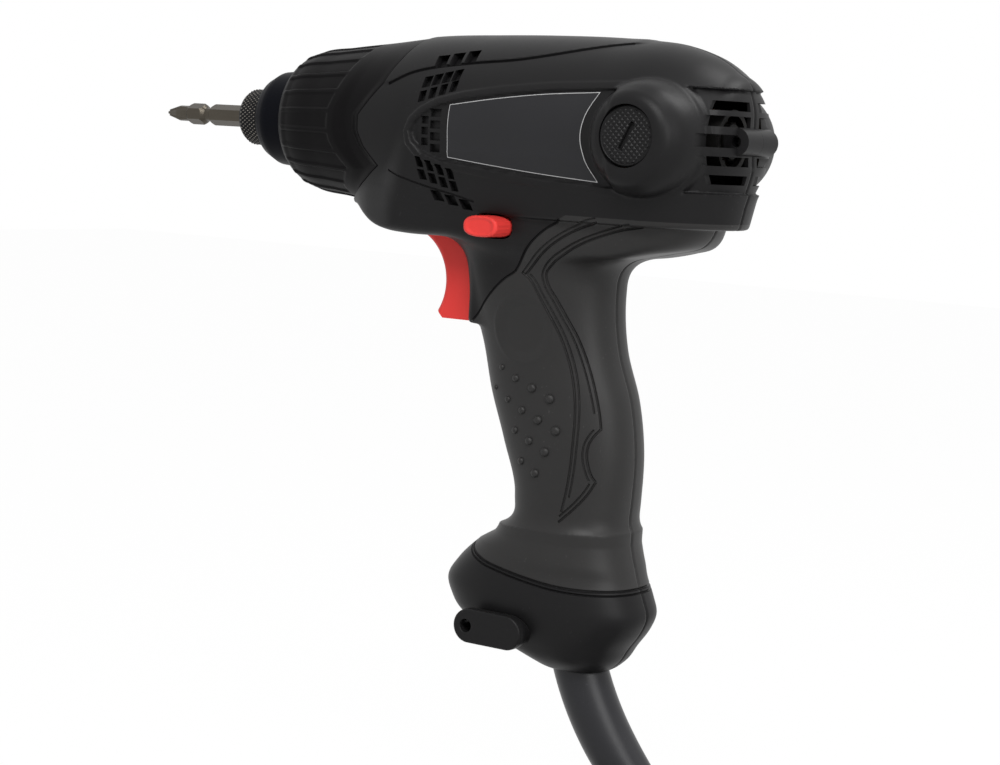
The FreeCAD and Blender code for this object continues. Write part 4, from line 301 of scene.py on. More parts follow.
def relief(x, ay, z):
    """Raised and sunk forms on the shell, outwards: the sunk plate bed in its oval with a lip in front, the
    raised top cover, the thumb dish with its rim, the sunk rear grille and the fine V at the parting."""
    side = ease((ay - 15) / 4)
    deep = oval_depth(x, z)
    nose = ease((-14 - x) / 20)
    lip = ease((deep + 1.3) / 0.7) * ease((1.5 - deep) / 0.7) * (0.22 + 0.38 * nose)
    rise = side * ease((31 - x) / 3) * (lip - 0.95 * ease((deep - 1.2) / 0.9))
    rise = rise + 0.4 * ease((z - SPINE(x)) / 0.6) * ease((27 - x) / 5)
    thumb = np.hypot(x - THUMB[0], z - THUMB[1]) / THUMB[2]
    rise = rise - 0.75 * ease((1.0 - thumb) * 2.6) + 0.16 * np.exp(-((thumb - 1.02) / 0.05) ** 2)
    clear = ease((np.hypot(x - BOSS_X, z - BOSS_Z) - BOSS_FOOT_R - 0.5) / 0.9)
    grille = 1.3 * clear * ease((x - 41.0) / 3.0)
    rise = rise - grille * ease((15.4 - z) / 0.6) * ease((z + 15.8) / 0.6)
    return rise - 0.4 * np.exp(-(ay / 0.38) ** 2)


def plain_shell(x, y, z):
    """Outer form of the housing: body, skirt, boss, chin, grip and base joined with fillets."""
    ay = np.abs(y)
    grip = column_field(x, ay, z, GRIP_AT, -26.0, -131.0)
    base = column_field(x, ay, z, BASE_AT, -125.0, -167.5)
    low = merge(merge(chin_field(x, ay, z), grip, 9.0), base, 8.0)
    low = merge(low, cheek_field(x, ay, z), 1.6)
    top = merge(merge(body_field(x, ay, z), skirt_field(x, ay, z), 2.0), boss_field(x, ay, z), 0.8)
    return merge(top, low, 0.9)


def shell_field(x, y, z):
    """Outer form with its raised and sunk detail."""
    return plain_shell(x, y, z) - relief(x, np.abs(y), z)


def unit(vectors):
    """Vectors made one long."""
    return vectors / np.maximum(np.linalg.norm(vectors, axis=-1, keepdims=True), 1e-9)


def lap(count):
    """Angles of one turn in equal steps."""
    return np.linspace(0, 2 * np.pi, count, endpoint=False)


def squarish(turn, power):
    """Superellipse of half size 1: cosine and sine, each to 2 over the power with its sign kept."""
    return [np.sign(w) * np.abs(w) ** (2 / power) for w in (np.cos(turn), np.sin(turn))]


def rises(field, p, step):
    """Differences of a field at points, from a step before to a step after along each axis."""
    return np.stack([field(*(p + move).T) - field(*(p - move).T) for move in np.eye(3) * step], axis=1)


def slope_of(field, p):
    """Outward unit direction of a field at points."""
    return unit(rises(field, p, 0.4))


def settle(field, points, rounds, most):
    """Moves points along the slope on to the field's zero, each step the value over the slope."""
    step = 0.05
    for _ in range(rounds):
        value = field(*points.T)
        way = rises(field, points, step) / (2 * step)
        size = np.maximum((way * way).sum(axis=1), 0.2)
        points = points - way * np.clip(value / size, -most, most)[:, None]
    return points


def net(field, low, high, pitch, rounds=2):
    """Surface where a field is zero: one point in each grid cell that the surface crosses, at the mean of the
    crossings of the cell's edges, and one quad across each grid edge that the surface crosses."""
    low = np.asarray(low, float)
    blocks = 4
    coarse_count = np.ceil((np.asarray(high) - low) / (pitch * blocks)).astype(int) + 1
    coarse_axes = [low[i] + np.arange(coarse_count[i]) * pitch * blocks for i in range(3)]
    coarse = field(*np.meshgrid(*coarse_axes, indexing="ij"))
    near = np.abs(coarse) < pitch * blocks * 2.2
    corners = [(i, j, k) for i in (0, 1) for j in (0, 1) for k in (0, 1)]
    size = np.array(coarse.shape) - 1
    cell = np.zeros(size, bool)
    for i, j, k in corners:
        cell |= near[i:i + size[0], j:j + size[1], k:k + size[2]]
    count = size * blocks + 1
    values = coarse
    mask = cell
    for axis in range(3):
        values = np.repeat(values, blocks, axis=axis).take(np.arange(count[axis]), axis=axis)
        mask = np.repeat(mask, blocks, axis=axis)
        mask = np.concatenate([mask, mask.take([-1], axis=axis)], axis=axis)
        mask[tuple(slice(1, None) if a == axis else slice(None) for a in range(3))] |= mask[
            tuple(slice(None, -1) if a == axis else slice(None) for a in range(3))]
    where = np.nonzero(mask)
    values[where] = field(*[low[i] + where[i] * pitch for i in range(3)])
    inside = values < 0
    span = np.array(inside.shape) - 1
    total = np.zeros(span, np.int8)
    for i, j, k in corners:
        total += inside[i:i + span[0], j:j + span[1], k:k + span[2]]
    active = (total > 0) & (total < 8)
    index = np.full(span, -1, np.int64)
    cells = np.argwhere(active)
    index[active] = np.arange(len(cells))
    place = np.zeros((len(cells), 3))
    hits = np.zeros(len(cells))
    for axis in range(3):
        along = np.eye(3, dtype=int)[axis]
        for start in [np.array(c) for c in corners if c[axis] == 0]:
            a = values[tuple((cells + start).T)]
            b = values[tuple((cells + start + along).T)]
            cross = (a < 0) != (b < 0)
            t = np.where(cross, a / np.where(cross, a - b, 1.0), 0.0)
            place += np.where(cross[:, None], start + t[:, None] * along, 0.0)
            hits += cross
    points = low + (cells + place / hits[:, None]) * pitch
    quads = []
    for axis in range(3):
        i, j = (axis + 1) % 3, (axis + 2) % 3
        one, two = np.eye(3, dtype=int)[[i, j]]
        first = inside.take(np.arange(inside.shape[axis] - 1), axis=axis)
        second = inside.take(np.arange(1, inside.shape[axis]), axis=axis)
        grid = np.argwhere(first != second)
        grid = grid[(grid[:, i] > 0) & (grid[:, j] > 0) & (grid[:, i] < span[i]) & (grid[:, j] < span[j])]
        quad = np.stack([index[tuple((grid - one - two).T)], index[tuple((grid - two).T)],
                         index[tuple(grid.T)], index[tuple((grid - one).T)]], axis=1)
        leaving = first[tuple(grid.T)]
        quad[~leaving] = quad[~leaving][:, ::-1]
        quads.append(quad)
    return settle(field, points, rounds, pitch * 0.9), np.concatenate(quads)


def cells_of(rows, columns, close_rows=False, close_columns=True):
    """Quads of a grid of points, wrapped round its columns or rows where these close."""
    r = np.arange(rows if close_rows else rows - 1)[:, None]
    c = np.arange(columns if close_columns else columns - 1)[None, :]
    r1, c1 = (r + 1) % rows, (c + 1) % columns
    quad = np.stack([r * columns + c, r * columns + c1, r1 * columns + c1, r1 * columns + c], axis=-1)
    return quad.reshape(-1, 4)


def tube(grid):
    """Form from a grid of points: rows along the piece, columns closed round it, ends closed flat."""
    rows, columns = grid.shape[:2]
    faces = cells_of(rows, columns).tolist()
    faces += [list(range(columns)), list(range((rows - 1) * columns, rows * columns))]
    return grid.reshape(-1, 3), faces


def ring(grid):
    """Form from a grid of points that closes both ways."""
    rows, columns = grid.shape[:2]
    return grid.reshape(-1, 3), cells_of(rows, columns, close_rows=True).tolist()


def prism(corners, near, far):
    """Form with the given side-view corners, from one distance across to another."""
    flat = np.asarray(corners, float)
    grid = np.stack([np.insert(flat, 1, near, axis=1), np.insert(flat, 1, far, axis=1)])
    return tube(grid)


def rod(start, end, radius, count=48):
    """Round bar between two points."""
    start, end = np.asarray(start, float), np.asarray(end, float)
    way = unit(end - start)
    other = unit(np.cross(way, (0.31, 0.52, 0.79)))
    third = np.cross(way, other)
    turn = lap(count)[:, None]
    circle = radius * (np.cos(turn) * other + np.sin(turn) * third)
    return tube(np.stack([start + circle, end + circle]))


def combined(forms):
    """Several forms as one."""
    points, faces, count = [], [], 0
    for some, sides in forms:
        points.append(some)
        faces += [[i + count for i in side] for side in sides]
        count += len(some)
    return np.concatenate(points), faces


def mirrored(form):
    """Form on the other side of the parting, with its faces turned."""
    points, faces = form
    return points * (1, -1, 1), [list(side)[::-1] for side in faces]


def shape(name, form, recalculate=True):
    """Mesh object of a form, with its place in its mesh."""
    points, faces = form
    mesh = bpy.data.meshes.new(name)
    mesh.from_pydata(metres(points).tolist(), [], [list(side) for side in faces])
    if recalculate:
        work = bmesh.new()
        work.from_mesh(mesh)
        bmesh.ops.recalc_face_normals(work, faces=work.faces)
        work.to_mesh(mesh)
        work.free()
    mesh.update()
    made = bpy.data.objects.new(name, mesh)
    bpy.context.scene.collection.objects.link(made)
    return made


def carve(target, steps):
    """Cuts, adds or keeps forms in turn, each a name of an operation and a form, and fixes the result."""
    tools = []
    for operation, form in steps:
        tool = shape("tool", form)
        cut = target.modifiers.new("carve", "BOOLEAN")
        cut.operation = operation
        cut.solver = "MANIFOLD"
        cut.object = tool
        tools.append(tool)
    graph = bpy.context.evaluated_depsgraph_get()
    before = len(target.data.vertices)
    mesh = bpy.data.meshes.new_from_object(target.evaluated_get(graph))
    if len(mesh.vertices) in (0, before):
        raise RuntimeError(f"{target.name} was not carved")
    target.modifiers.clear()
    old = target.data
    target.data = mesh
    mesh.name = target.name
    bpy.data.meshes.remove(old)
    for tool in tools:
        spare = tool.data
        bpy.data.objects.remove(tool)
        bpy.data.meshes.remove(spare)
    return target


def dress(made, body, slot, node, crease=35.0, finish=None):
    """Shading, finish, body, slot and the CAD node that a piece stands for."""
    mesh = made.data
    mesh.shade_smooth()
    mesh.set_sharp_from_angle(angle=math.radians(crease))
    mesh.materials.clear()
    mesh.materials.append(finish or finishes()[slot])
    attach(made, body)
    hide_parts(node)
    return made


def mark(made, name, values):
    """Stores a value at each point of a piece for its finish."""
    store = made.data.attributes.new(name, "FLOAT", "POINT")
    store.data.foreach_set("value", values.astype(np.float32))


def seat(across, up, back, place):
    """Matrix of an object from its three directions and its place."""
    matrix = np.eye(4)
    matrix[:3] = np.stack([across, up, back, place], axis=1)
    return Matrix(matrix.tolist())


def side_reach(x, z):
    """Half width of the shell at places in side view: the first point met from outside, found by halving."""
    x, z = np.asarray(x, float), np.asarray(z, float)
    reach = np.arange(44.0, 0.0, -0.5)
    inside = shell_field(x[:, None], reach[None, :], z[:, None]) < 0
    first = np.argmax(inside, axis=1)
    first = np.where(inside.any(axis=1), np.maximum(first, 1), len(reach) - 1)
    high, low = reach[first - 1], reach[first]
    for _ in range(20):
        middle = (high + low) / 2
        outside = shell_field(x, middle, z) > 0
        high, low = np.where(outside, middle, high), np.where(outside, low, middle)
    return (high + low) / 2


def spaced(points, step):
    """Places about a step apart on a smooth line through points, each coordinate a cubic of the chord."""
    points = np.asarray(points, float)
    chord = np.concatenate([[0], np.cumsum(np.linalg.norm(np.diff(points, axis=0), axis=1))])
    where = np.linspace(0, chord[-1], max(int(chord[-1] / step), 4) + 1)
    return np.stack([through(chord, points[:, i])(where) for i in range(points.shape[1])], axis=1)


def shifted(points, offset):
    """Line beside a side-view line: each place moved square to the line."""
    way = unit(np.gradient(np.asarray(points, float), axis=0))
    return points + offset * np.stack([-way[:, 1], way[:, 0]], axis=1)


def groove_bar(path, width, depth):
    """Bar along a line on the shell that cuts a rounded groove: a U section carried along the line, square to
    the shell."""
    out = slope_of(plain_shell, path)
    way = unit(np.gradient(path, axis=0))
    across = unit(np.cross(way, out))
    out = np.cross(across, way)
    turn = np.linspace(0, np.pi, 7)
    wide = np.concatenate([np.cos(turn), [-1.0, 1.0]]) * width / 2
    high = np.concatenate([-np.sin(turn) * depth, [1.0, 1.0]])
    return tube(path[:, None] + wide[None, :, None] * across[:, None] + high[None, :, None] * out[:, None])


def side_groove(line, width, depth, step=1.1):
    """Groove bar over a side-view line on the left side."""
    flat = spaced(line, step)
    path = np.stack([flat[:, 0], -side_reach(flat[:, 0], flat[:, 1]), flat[:, 1]], axis=1)
    return groove_bar(path, width, depth)


def base_groove(drop, width, depth):
    """Groove bar round the base under its upper line: for each way round, the reach is found by halving."""
    turn = np.radians(np.linspace(-6, 186, 120))
    middle = 2.0
    low, high = np.full(turn.shape, 4.0), np.full(turn.shape, 52.0)

    def place(reach):
        x = middle - reach * np.cos(turn)
        return np.stack([x, -reach * np.sin(turn), BASE_LINE(x) - drop], axis=1)

    for _ in range(30):
        reach = (low + high) / 2
        outside = plain_shell(*place(reach).T) > 0
        high, low = np.where(outside, reach, high), np.where(outside, low, reach)
    return groove_bar(place((low + high) / 2), width, depth)


# Moulded lines of the grip in side view
PAD_LINE = [(-30.2, -62.0), (-27.0, -58.8), (-23.1, -54.3), (-18.5, -49.6), (-14.2, -45.9), (-10.1, -43.4)]
APEX_LINE = [(-10.1, -43.4), (-6.5, -38.5), (-2.2, -33.6), (2.6, -29.4), (8.6, -25.9)]
MIDDLE_LINE = [(-6.2, -44.0), (-2.4, -40.0), (2.6, -35.7), (7.3, -32.3), (12.3, -29.4), (17.5, -27.2),
               (22.0, -26.0)]
BLADE_FRONT = [(-10.1, -43.4), (-7.6, -43.3), (-5.1, -44.9), (-1.3, -50.4), (2.4, -56.2), (5.9, -62.4),
               (8.6, -68.8), (10.6, -74.6), (12.0, -80.9), (12.6, -87.0), (12.6, -93.6), (12.3, -102.2),
               (11.5, -109.2), (10.3, -116.2), (9.7, -119.4)]
BLADE_REAR = [(36.0, -26.6), (29.3, -27.9), (22.1, -30.2), (15.4, -32.9), (8.9, -36.5), (3.3, -40.2),
              (0.9, -43.2), (1.5, -46.3), (4.2, -50.7), (7.5, -56.3), (10.7, -62.0), (13.5, -68.4),
              (16.0, -74.6), (17.9, -80.0), (19.4, -85.5), (20.2, -89.6)]
BLADE_NOTCH = [(20.2, -89.6), (18.5, -92.1), (17.4, -94.6), (17.1, -97.6), (17.9, -101.6), (19.1, -104.6),
               (20.1, -106.0)]
BLADE_TIP = [(20.1, -106.0), (18.5, -109.3), (15.4, -113.6), (12.2, -117.0), (9.7, -119.4)]
CHEEK_LINE = [(-56.0, -14.5), (-48.0, -16.9), (-42.4, -18.3), (-30.0, -20.8), (-22.3, -22.6)]
# Bumps of the grip pad: place in side view and radius
BUMPS = [(-15.2, -73.8, 0.95), (-9.2, -76.6, 1.2), (-2.8, -79.0, 1.45), (3.9, -81.7, 1.55),
         (-18.4, -80.6, 0.8), (-12.3, -83.6, 1.05), (-6.2, -86.3, 1.25), (0.0, -88.7, 1.45),
         (6.7, -91.3, 1.55), (-9.0, -93.0, 1.15), (-3.0, -95.6, 1.35), (3.2, -98.3, 1.5),
         (-6.2, -102.4, 1.2), (-0.2, -105.4, 1.4)]


# Boot: body radius behind it, front end and length along the axis
BODY_R = 29.7
BOOT_FRONT, BOOT_LENGTH = -106.7, 53.9
# Seam of the boot and ends of its ribs in side view, as shares of the boot length and the body radius
SEAM = [(1, 1.2), (0.97, 0.96), (0.94, 0.69), (0.89, 0.44), (0.73, 0.08), (0.73, -0.09), (0.77, -0.25),
        (0.86, -0.45), (0.7, -0.62), (0.48, -0.84), (0.36, -1.2)]
RIDGE = [(0.64, 1.2), (0.6, 0.76), (0.53, 0.38), (0.48, 0.14), (0.475, -0.07), (0.49, -0.21), (0.52, -0.32),
         (0.59, -0.5), (0.48, -0.7), (0.4, -1.2)]


def boot_edge(shares):
    """Places along and heights of a side-view edge, from shares of boot length and body radius."""
    along, up = np.array(shares).T
    return BOOT_FRONT + BOOT_LENGTH * along, up * BODY_R


def seam_prism():
    """Room ahead of the boot seam."""
    corners = list(zip(*boot_edge(SEAM)))
    top = [(-130.0, 40.0), (corners[0][0], 40.0)]
    foot = [(corners[-1][0], -60.0), (-130.0, -60.0)]
    return prism(top + corners + foot, -45.0, 45.0)


def skin_corners():
    """Side-view outline of the soft skin: under pad line and apex line, below the ledge, over the base."""
    x = np.linspace(60, -60, 61)
    foot = list(zip(x, BASE_LINE(x)))
    ledge = [(11.0, -24.6), (60.0, -24.6)]
    start = [(-60.0, -63.2), (-33.0, -63.2)]
    return start + PAD_LINE + APEX_LINE[1:] + ledge + foot


# Rows of front air cells as shares of the body radius: count, first and last cell along and up, cell width
# and height, shift along from foot to top, and rise across the cell
VENT_SHARES = [
    (3, -1.33, 0.68, -0.98, 0.741, 0.118, 0.114, -0.027, 0.018),
    (4, -1.405, 0.458, -1.052, 0.539, 0.084, 0.104, 0.004, 0.02),
    (4, -1.417, 0.306, -1.044, 0.42, 0.071, 0.101, 0.002, 0.02),
    (4, -1.219, 0.138, -1.219, -0.229, 0.108, 0.074, 0.0, 0.0),
    (3, -1.352, 0.06, -1.356, -0.165, 0.072, 0.07, 0.0, 0.0),
    (4, -1.412, -0.379, -1.025, -0.485, 0.069, 0.098, -0.02, -0.008),
    (4, -1.39, -0.512, -0.993, -0.613, 0.077, 0.094, -0.03, -0.006),
    (3, -1.212, -0.724, -0.855, -0.798, 0.108, 0.094, -0.05, -0.008),
]
# Rear slots: level and height
REAR_SLOTS = [(10.35, 2.8), (5.8, 3.2), (0.0, 3.85), (-5.95, 2.8), (-11.4, 2.8)]
# Housing screws: place in side view, and how far out the seat of the head lies
SCREWS = [(59.06, 0.0, 9.5), (33.66, -29.8, 21.5), (-60.6, -28.98, 18.3), (3.67, -72.0, 16.5),
          (-22.0, -150.75, 18.3), (24.5, -151.6, 15.3)]


def vent_bars():
    """Slanted bars through the left wall, one for each front air cell."""
    bars = []
    for count, first_x, first_z, last_x, last_z, wide, high, lean, rise in VENT_SHARES:
        for share in np.linspace(0, 1, count):
            x = BODY_R * (first_x + (last_x - first_x) * share)
            z = BODY_R * (first_z + (last_z - first_z) * share)
            corners = [(x + BODY_R * (1.2 * wide * a + lean * u), z + BODY_R * (1.14 * high * u + rise * a))
                       for a, u in ((-0.5, -0.5), (0.5, -0.5), (0.5, 0.5), (-0.5, 0.5))]
            bars.append(prism(corners, -45.0, -6.0))
    return combined(bars)


def box(low, high):
    """Box between two corners."""
    (x0, y0, z0), (x1, y1, z1) = low, high
    return prism([(x0, z0), (x1, z0), (x1, z1), (x0, z1)], y0, y1)


def rounded_bar(x, z, half_x, half_z, near, far):
    """Bar across the tool with a superellipse section of power 3."""
    c, s = squarish(lap(64), 3.0)
    return prism(np.stack([x + half_x * c, z + half_z * s], axis=1), near, far)


# Length of the cord guard; middle of the coil, its upper layer, the spacing of layers, and the plug's level
GUARD_LENGTH = 58.0
COIL_X, COIL_Y, COIL_TOP, LAYER, PLUG_LEVEL = 80.64, -43.9, -219.55, 7.6, -234.75
# Middle of the reverse lever in side view
LEVER_X, LEVER_Z = -16.0, -29.7


def guard_line(share):
    """Middle line of the cord guard: an arc that leans from 20 to 58 degrees over 58 mm; place and way."""
    first, last = math.radians(20), math.radians(58)
    bend = GUARD_LENGTH / (last - first)
    lean = first + (last - first) * np.asarray(share, float)
    place = np.stack([10.6 + bend * (math.cos(first) - np.cos(lean)), 0 * lean,
                      -DROP - bend * (np.sin(lean) - math.sin(first))], axis=-1)
    way = np.stack([np.sin(lean), 0 * lean, -np.cos(lean)], axis=-1)
    return place, way


def shared_cuts():
    """Cuts of both housing halves, for the left one: boot seam, vents, rear slots, brush seat, lever, trigger
    and guard openings."""
    exit_place, way = guard_line(0.0)
    slots = [box((53.4, -32.0, level - high / 2), (80.0, -2.7, level + high / 2))
             for level, high in REAR_SLOTS]
    return [
        ("DIFFERENCE", seam_prism()),
        ("DIFFERENCE", vent_bars()),
        ("DIFFERENCE", combined(slots)),
        ("DIFFERENCE", rod((BOSS_X, -45.0, 0.0), (BOSS_X, -30.6, 0.0), 9.3, 96)),
        ("DIFFERENCE", rounded_bar(LEVER_X, LEVER_Z, 6.9, 3.9, -45.0, 5.0)),
        ("DIFFERENCE", box((-75.0, -9.35, -61.6), (-24.0, 9.35, -34.6))),
        ("DIFFERENCE", rod(exit_place - way * 14, exit_place + way * 12, 8.95, 72)),
    ]


def grip_lines(width, depth):
    """Bars of the moulded lines on the left grip skin, single or in pairs as on the object."""
    pair = width * 1.55
    middle = shifted(spaced(MIDDLE_LINE, 3), pair)
    front = spaced(BLADE_FRONT[1:-1], 2.5)
    return [
        side_groove(MIDDLE_LINE, width, depth),
        side_groove(middle, width * 0.7, depth * 0.6),
        side_groove(front, width, depth),
        side_groove(shifted(front, pair)[1:-2], width * 0.8, depth * 0.8),
    ]


class Knot:
    """Output of a shader node: arithmetic on it adds Math nodes."""

    def __init__(self, tree, socket):
        self.tree, self.socket = tree, socket

    def maths(self, operation, *values):
        node = self.tree.nodes.new("ShaderNodeMath")
        node.operation = operation
        for slot, value in zip(node.inputs, values):
            if isinstance(value, Knot):
                self.tree.links.new(value.socket, slot)
            else:
                slot.default_value = value
        return Knot(self.tree, node.outputs[0])

    def __add__(self, other):
        return self.maths("ADD", self, other)

    def __radd__(self, other):
        return self.maths("ADD", other, self)

    def __sub__(self, other):
        return self.maths("SUBTRACT", self, other)

    def __rsub__(self, other):
        return self.maths("SUBTRACT", other, self)

    def __mul__(self, other):
        return self.maths("MULTIPLY", self, other)

    def least(self, other):
        return self.maths("MINIMUM", self, other)

    def band(self, low, high):
        """Soft step from 0 at low to 1 at high."""
        node = self.tree.nodes.new("ShaderNodeMapRange")
        node.interpolation_type = "SMOOTHSTEP"
        self.tree.links.new(self.socket, node.inputs["Value"])
        node.inputs["From Min"].default_value = low
        node.inputs["From Max"].default_value = high
        return Knot(self.tree, node.outputs[0])


class Finish:
    """Material with one Principled shader; any other node comes from its node method."""

    def __init__(self, name, **constants):
        self.material = bpy.data.materials.new(name)
        self.material.use_nodes = True
        self.tree = self.material.node_tree
        self.shader = self.tree.nodes["Principled BSDF"]
        for key, value in constants.items():
            self.shader.inputs[key.replace("_", " ")].default_value = value

    def node(self, kind, settings=None, sockets=None, out=0):
        node = self.tree.nodes.new(kind)
        for key, value in (settings or {}).items():
            setattr(node, key, value)
        for key, value in (sockets or {}).items():
            if isinstance(value, Knot):
                self.tree.links.new(value.socket, node.inputs[key])
            else:
                node.inputs[key].default_value = value
        return Knot(self.tree, node.outputs[out])

    def place(self):
        return self.node("ShaderNodeTexCoord", out="Object")

    def noise(self, place, scale, detail=2.0, rough=0.5):
        return self.node("ShaderNodeTexNoise", None,
                         {"Vector": place, "Scale": scale, "Detail": detail, "Roughness": rough}, "Fac")

    def attribute(self, name):
        return self.node("ShaderNodeAttribute", {"attribute_name": name}, None, "Fac")

    def blend(self, share, one, two):
        """Colour between two, by a share."""
        ends = [tuple(c) + (1.0,) if not isinstance(c, Knot) and len(c) == 3 else c for c in (one, two)]
        return self.node("ShaderNodeMix", {"data_type": "RGBA"}, {0: share, 6: ends[0], 7: ends[1]}, 2)

    def bump(self, height, distance):
        return self.node("ShaderNodeBump", None, {"Height": height, "Distance": distance, "Strength": 1.0})

    def feed(self, **links):
        for key, value in links.items():
            self.tree.links.new(value.socket, self.shader.inputs[key.replace("_", " ")])
        return self.material


def tone(colour, share):
    """A colour made lighter or darker by a share."""
    return tuple(min(c * share, 1.0) for c in colour)


def moulded(name, colour, rough, grain, distance, specular=0.3, wear=1.25):
    """Moulded plastic or rubber: fine grain in the bump, cloudy tone and gloss, and small pale scuffs."""
    f = Finish(name, Specular_IOR_Level=specular)
    place = f.place()
    fine = f.noise(place, grain, 2.0, 0.55)
    cloud = f.noise(place, 38.0, 3.0, 0.55)
    fleck = f.noise(place, grain * 0.45, 1.0, 0.5).band(0.70, 0.78) * cloud.band(0.42, 0.62)
    base = f.blend(cloud, tone(colour, 0.86), tone(colour, 1.16))
    base = f.blend(fleck * 0.35, base, tone(colour, wear * 3.2))
    return f.feed(Base_Color=base, Roughness=rough + (cloud - 0.5) * 0.14 + (fine - 0.5) * 0.10,
                  Normal=f.bump(fine, distance))


def steel(name, colour, rough, brush=(60.0, 900.0, 900.0)):
    """Metal with fine drawn lines: stretched noise in the tone, gloss and bump."""
    f = Finish(name, Metallic=1.0)
    place = f.place()
    along = f.node("ShaderNodeMapping", None, {"Vector": place, "Scale": brush})
    lines = f.noise(along, 1.0, 3.0, 0.6)
    cloud = f.noise(place, 90.0, 2.0, 0.5)
    base = f.blend(lines * 0.6 + cloud * 0.4, tone(colour, 0.75), tone(colour, 1.2))
    return f.feed(Base_Color=base, Roughness=rough + (lines - 0.5) * 0.16 + (cloud - 0.5) * 0.1,
                  Normal=f.bump(lines, 0.000004))


def knurled_steel(name, colour):
    """Blackened steel with bright crests where the knurl is rubbed."""
    f = Finish(name, Metallic=1.0)
    crest = f.attribute("crest")
    cloud = f.noise(f.place(), 400.0, 2.0, 0.5)
    rubbed = (crest + (cloud - 0.5) * 0.3).band(0.68, 0.98)
    base = f.blend(rubbed, tone(colour, 0.5), (0.21, 0.195, 0.17))
    return f.feed(Base_Color=base, Roughness=0.5 - rubbed * 0.22, Normal=f.bump(cloud, 0.000004))


def plate_finish(name, colour, line):
    """Bare foil plate: dark grey with a fine pale line along its border."""
    f = Finish(name, Specular_IOR_Level=0.19)
    edge = f.attribute("edge")
    place = f.place()
    fine = f.noise(place, 2200.0, 1.0, 0.5)
    cloud = f.noise(place, 45.0, 3.0, 0.55)
    rule = edge.band(0.12, 0.20) * (1.0 - edge.band(0.34, 0.42))
    base = f.blend(cloud, tone(colour, 0.88), tone(colour, 1.14))
    base = f.blend(rule, base, line)
    return f.feed(Base_Color=base, Roughness=0.40 + (cloud - 0.5) * 0.12 + (fine - 0.5) * 0.08,
                  Normal=f.bump(fine, 0.000004))


def woven(name, colour):
    """Woven tie band: crossed waves in bump and tone."""
    f = Finish(name, Specular_IOR_Level=0.2)
    place = f.place()
    one = f.node("ShaderNodeTexWave", {"bands_direction": "X"}, {"Vector": place, "Scale": 260.0}, "Fac")
    two = f.node("ShaderNodeTexWave", {"bands_direction": "Y"}, {"Vector": place, "Scale": 260.0}, "Fac")
    weave = one * two
    base = f.blend(weave, tone(colour, 0.7), tone(colour, 1.6))
    return f.feed(Base_Color=base, Roughness=0.85 - weave * 0.15, Normal=f.bump(weave, 0.0002))


def turned_metal(name, colour, rough, metallic, distance=0.000005):
    """Plain inner part: fine noise in tone, gloss and bump."""
    f = Finish(name, Metallic=metallic)
    place = f.place()
    fine = f.noise(place, 900.0, 2.0, 0.6)
    cloud = f.noise(place, 70.0, 2.0, 0.5)
    base = f.blend(cloud * 0.5 + fine * 0.5, tone(colour, 0.78), tone(colour, 1.18))
    return f.feed(Base_Color=base, Roughness=rough + (cloud - 0.5) * 0.15 + (fine - 0.5) * 0.1,
                  Normal=f.bump(fine, distance))


def stacked(name, colour):
    """Stacked sheets: thin lines across the axis."""
    f = Finish(name, Metallic=0.9)
    place = f.place()
    sheets = f.node("ShaderNodeTexWave", {"bands_direction": "X"}, {"Vector": place, "Scale": 310.0}, "Fac")
    cloud = f.noise(place, 80.0, 2.0, 0.5)
    base = f.blend(sheets * 0.7 + cloud * 0.3, tone(colour, 0.6), tone(colour, 1.2))
    return f.feed(Base_Color=base, Roughness=0.45 + (cloud - 0.5) * 0.2, Normal=f.bump(sheets, 0.00004))


def wound(name, colour):
    """Enamelled wire: fine lines with a warm gloss."""
    f = Finish(name, Metallic=0.9)
    place = f.place()
    turns = f.node("ShaderNodeTexWave", {"bands_direction": "DIAGONAL"},
                   {"Vector": place, "Scale": 420.0, "Distortion": 1.0, "Detail": 1.0}, "Fac")
    cloud = f.noise(place, 120.0, 2.0, 0.5)
    base = f.blend(turns * 0.6 + cloud * 0.4, tone(colour, 0.55), tone(colour, 1.15))
    return f.feed(Base_Color=base, Roughness=0.32 + (cloud - 0.5) * 0.2, Normal=f.bump(turns, 0.00005))


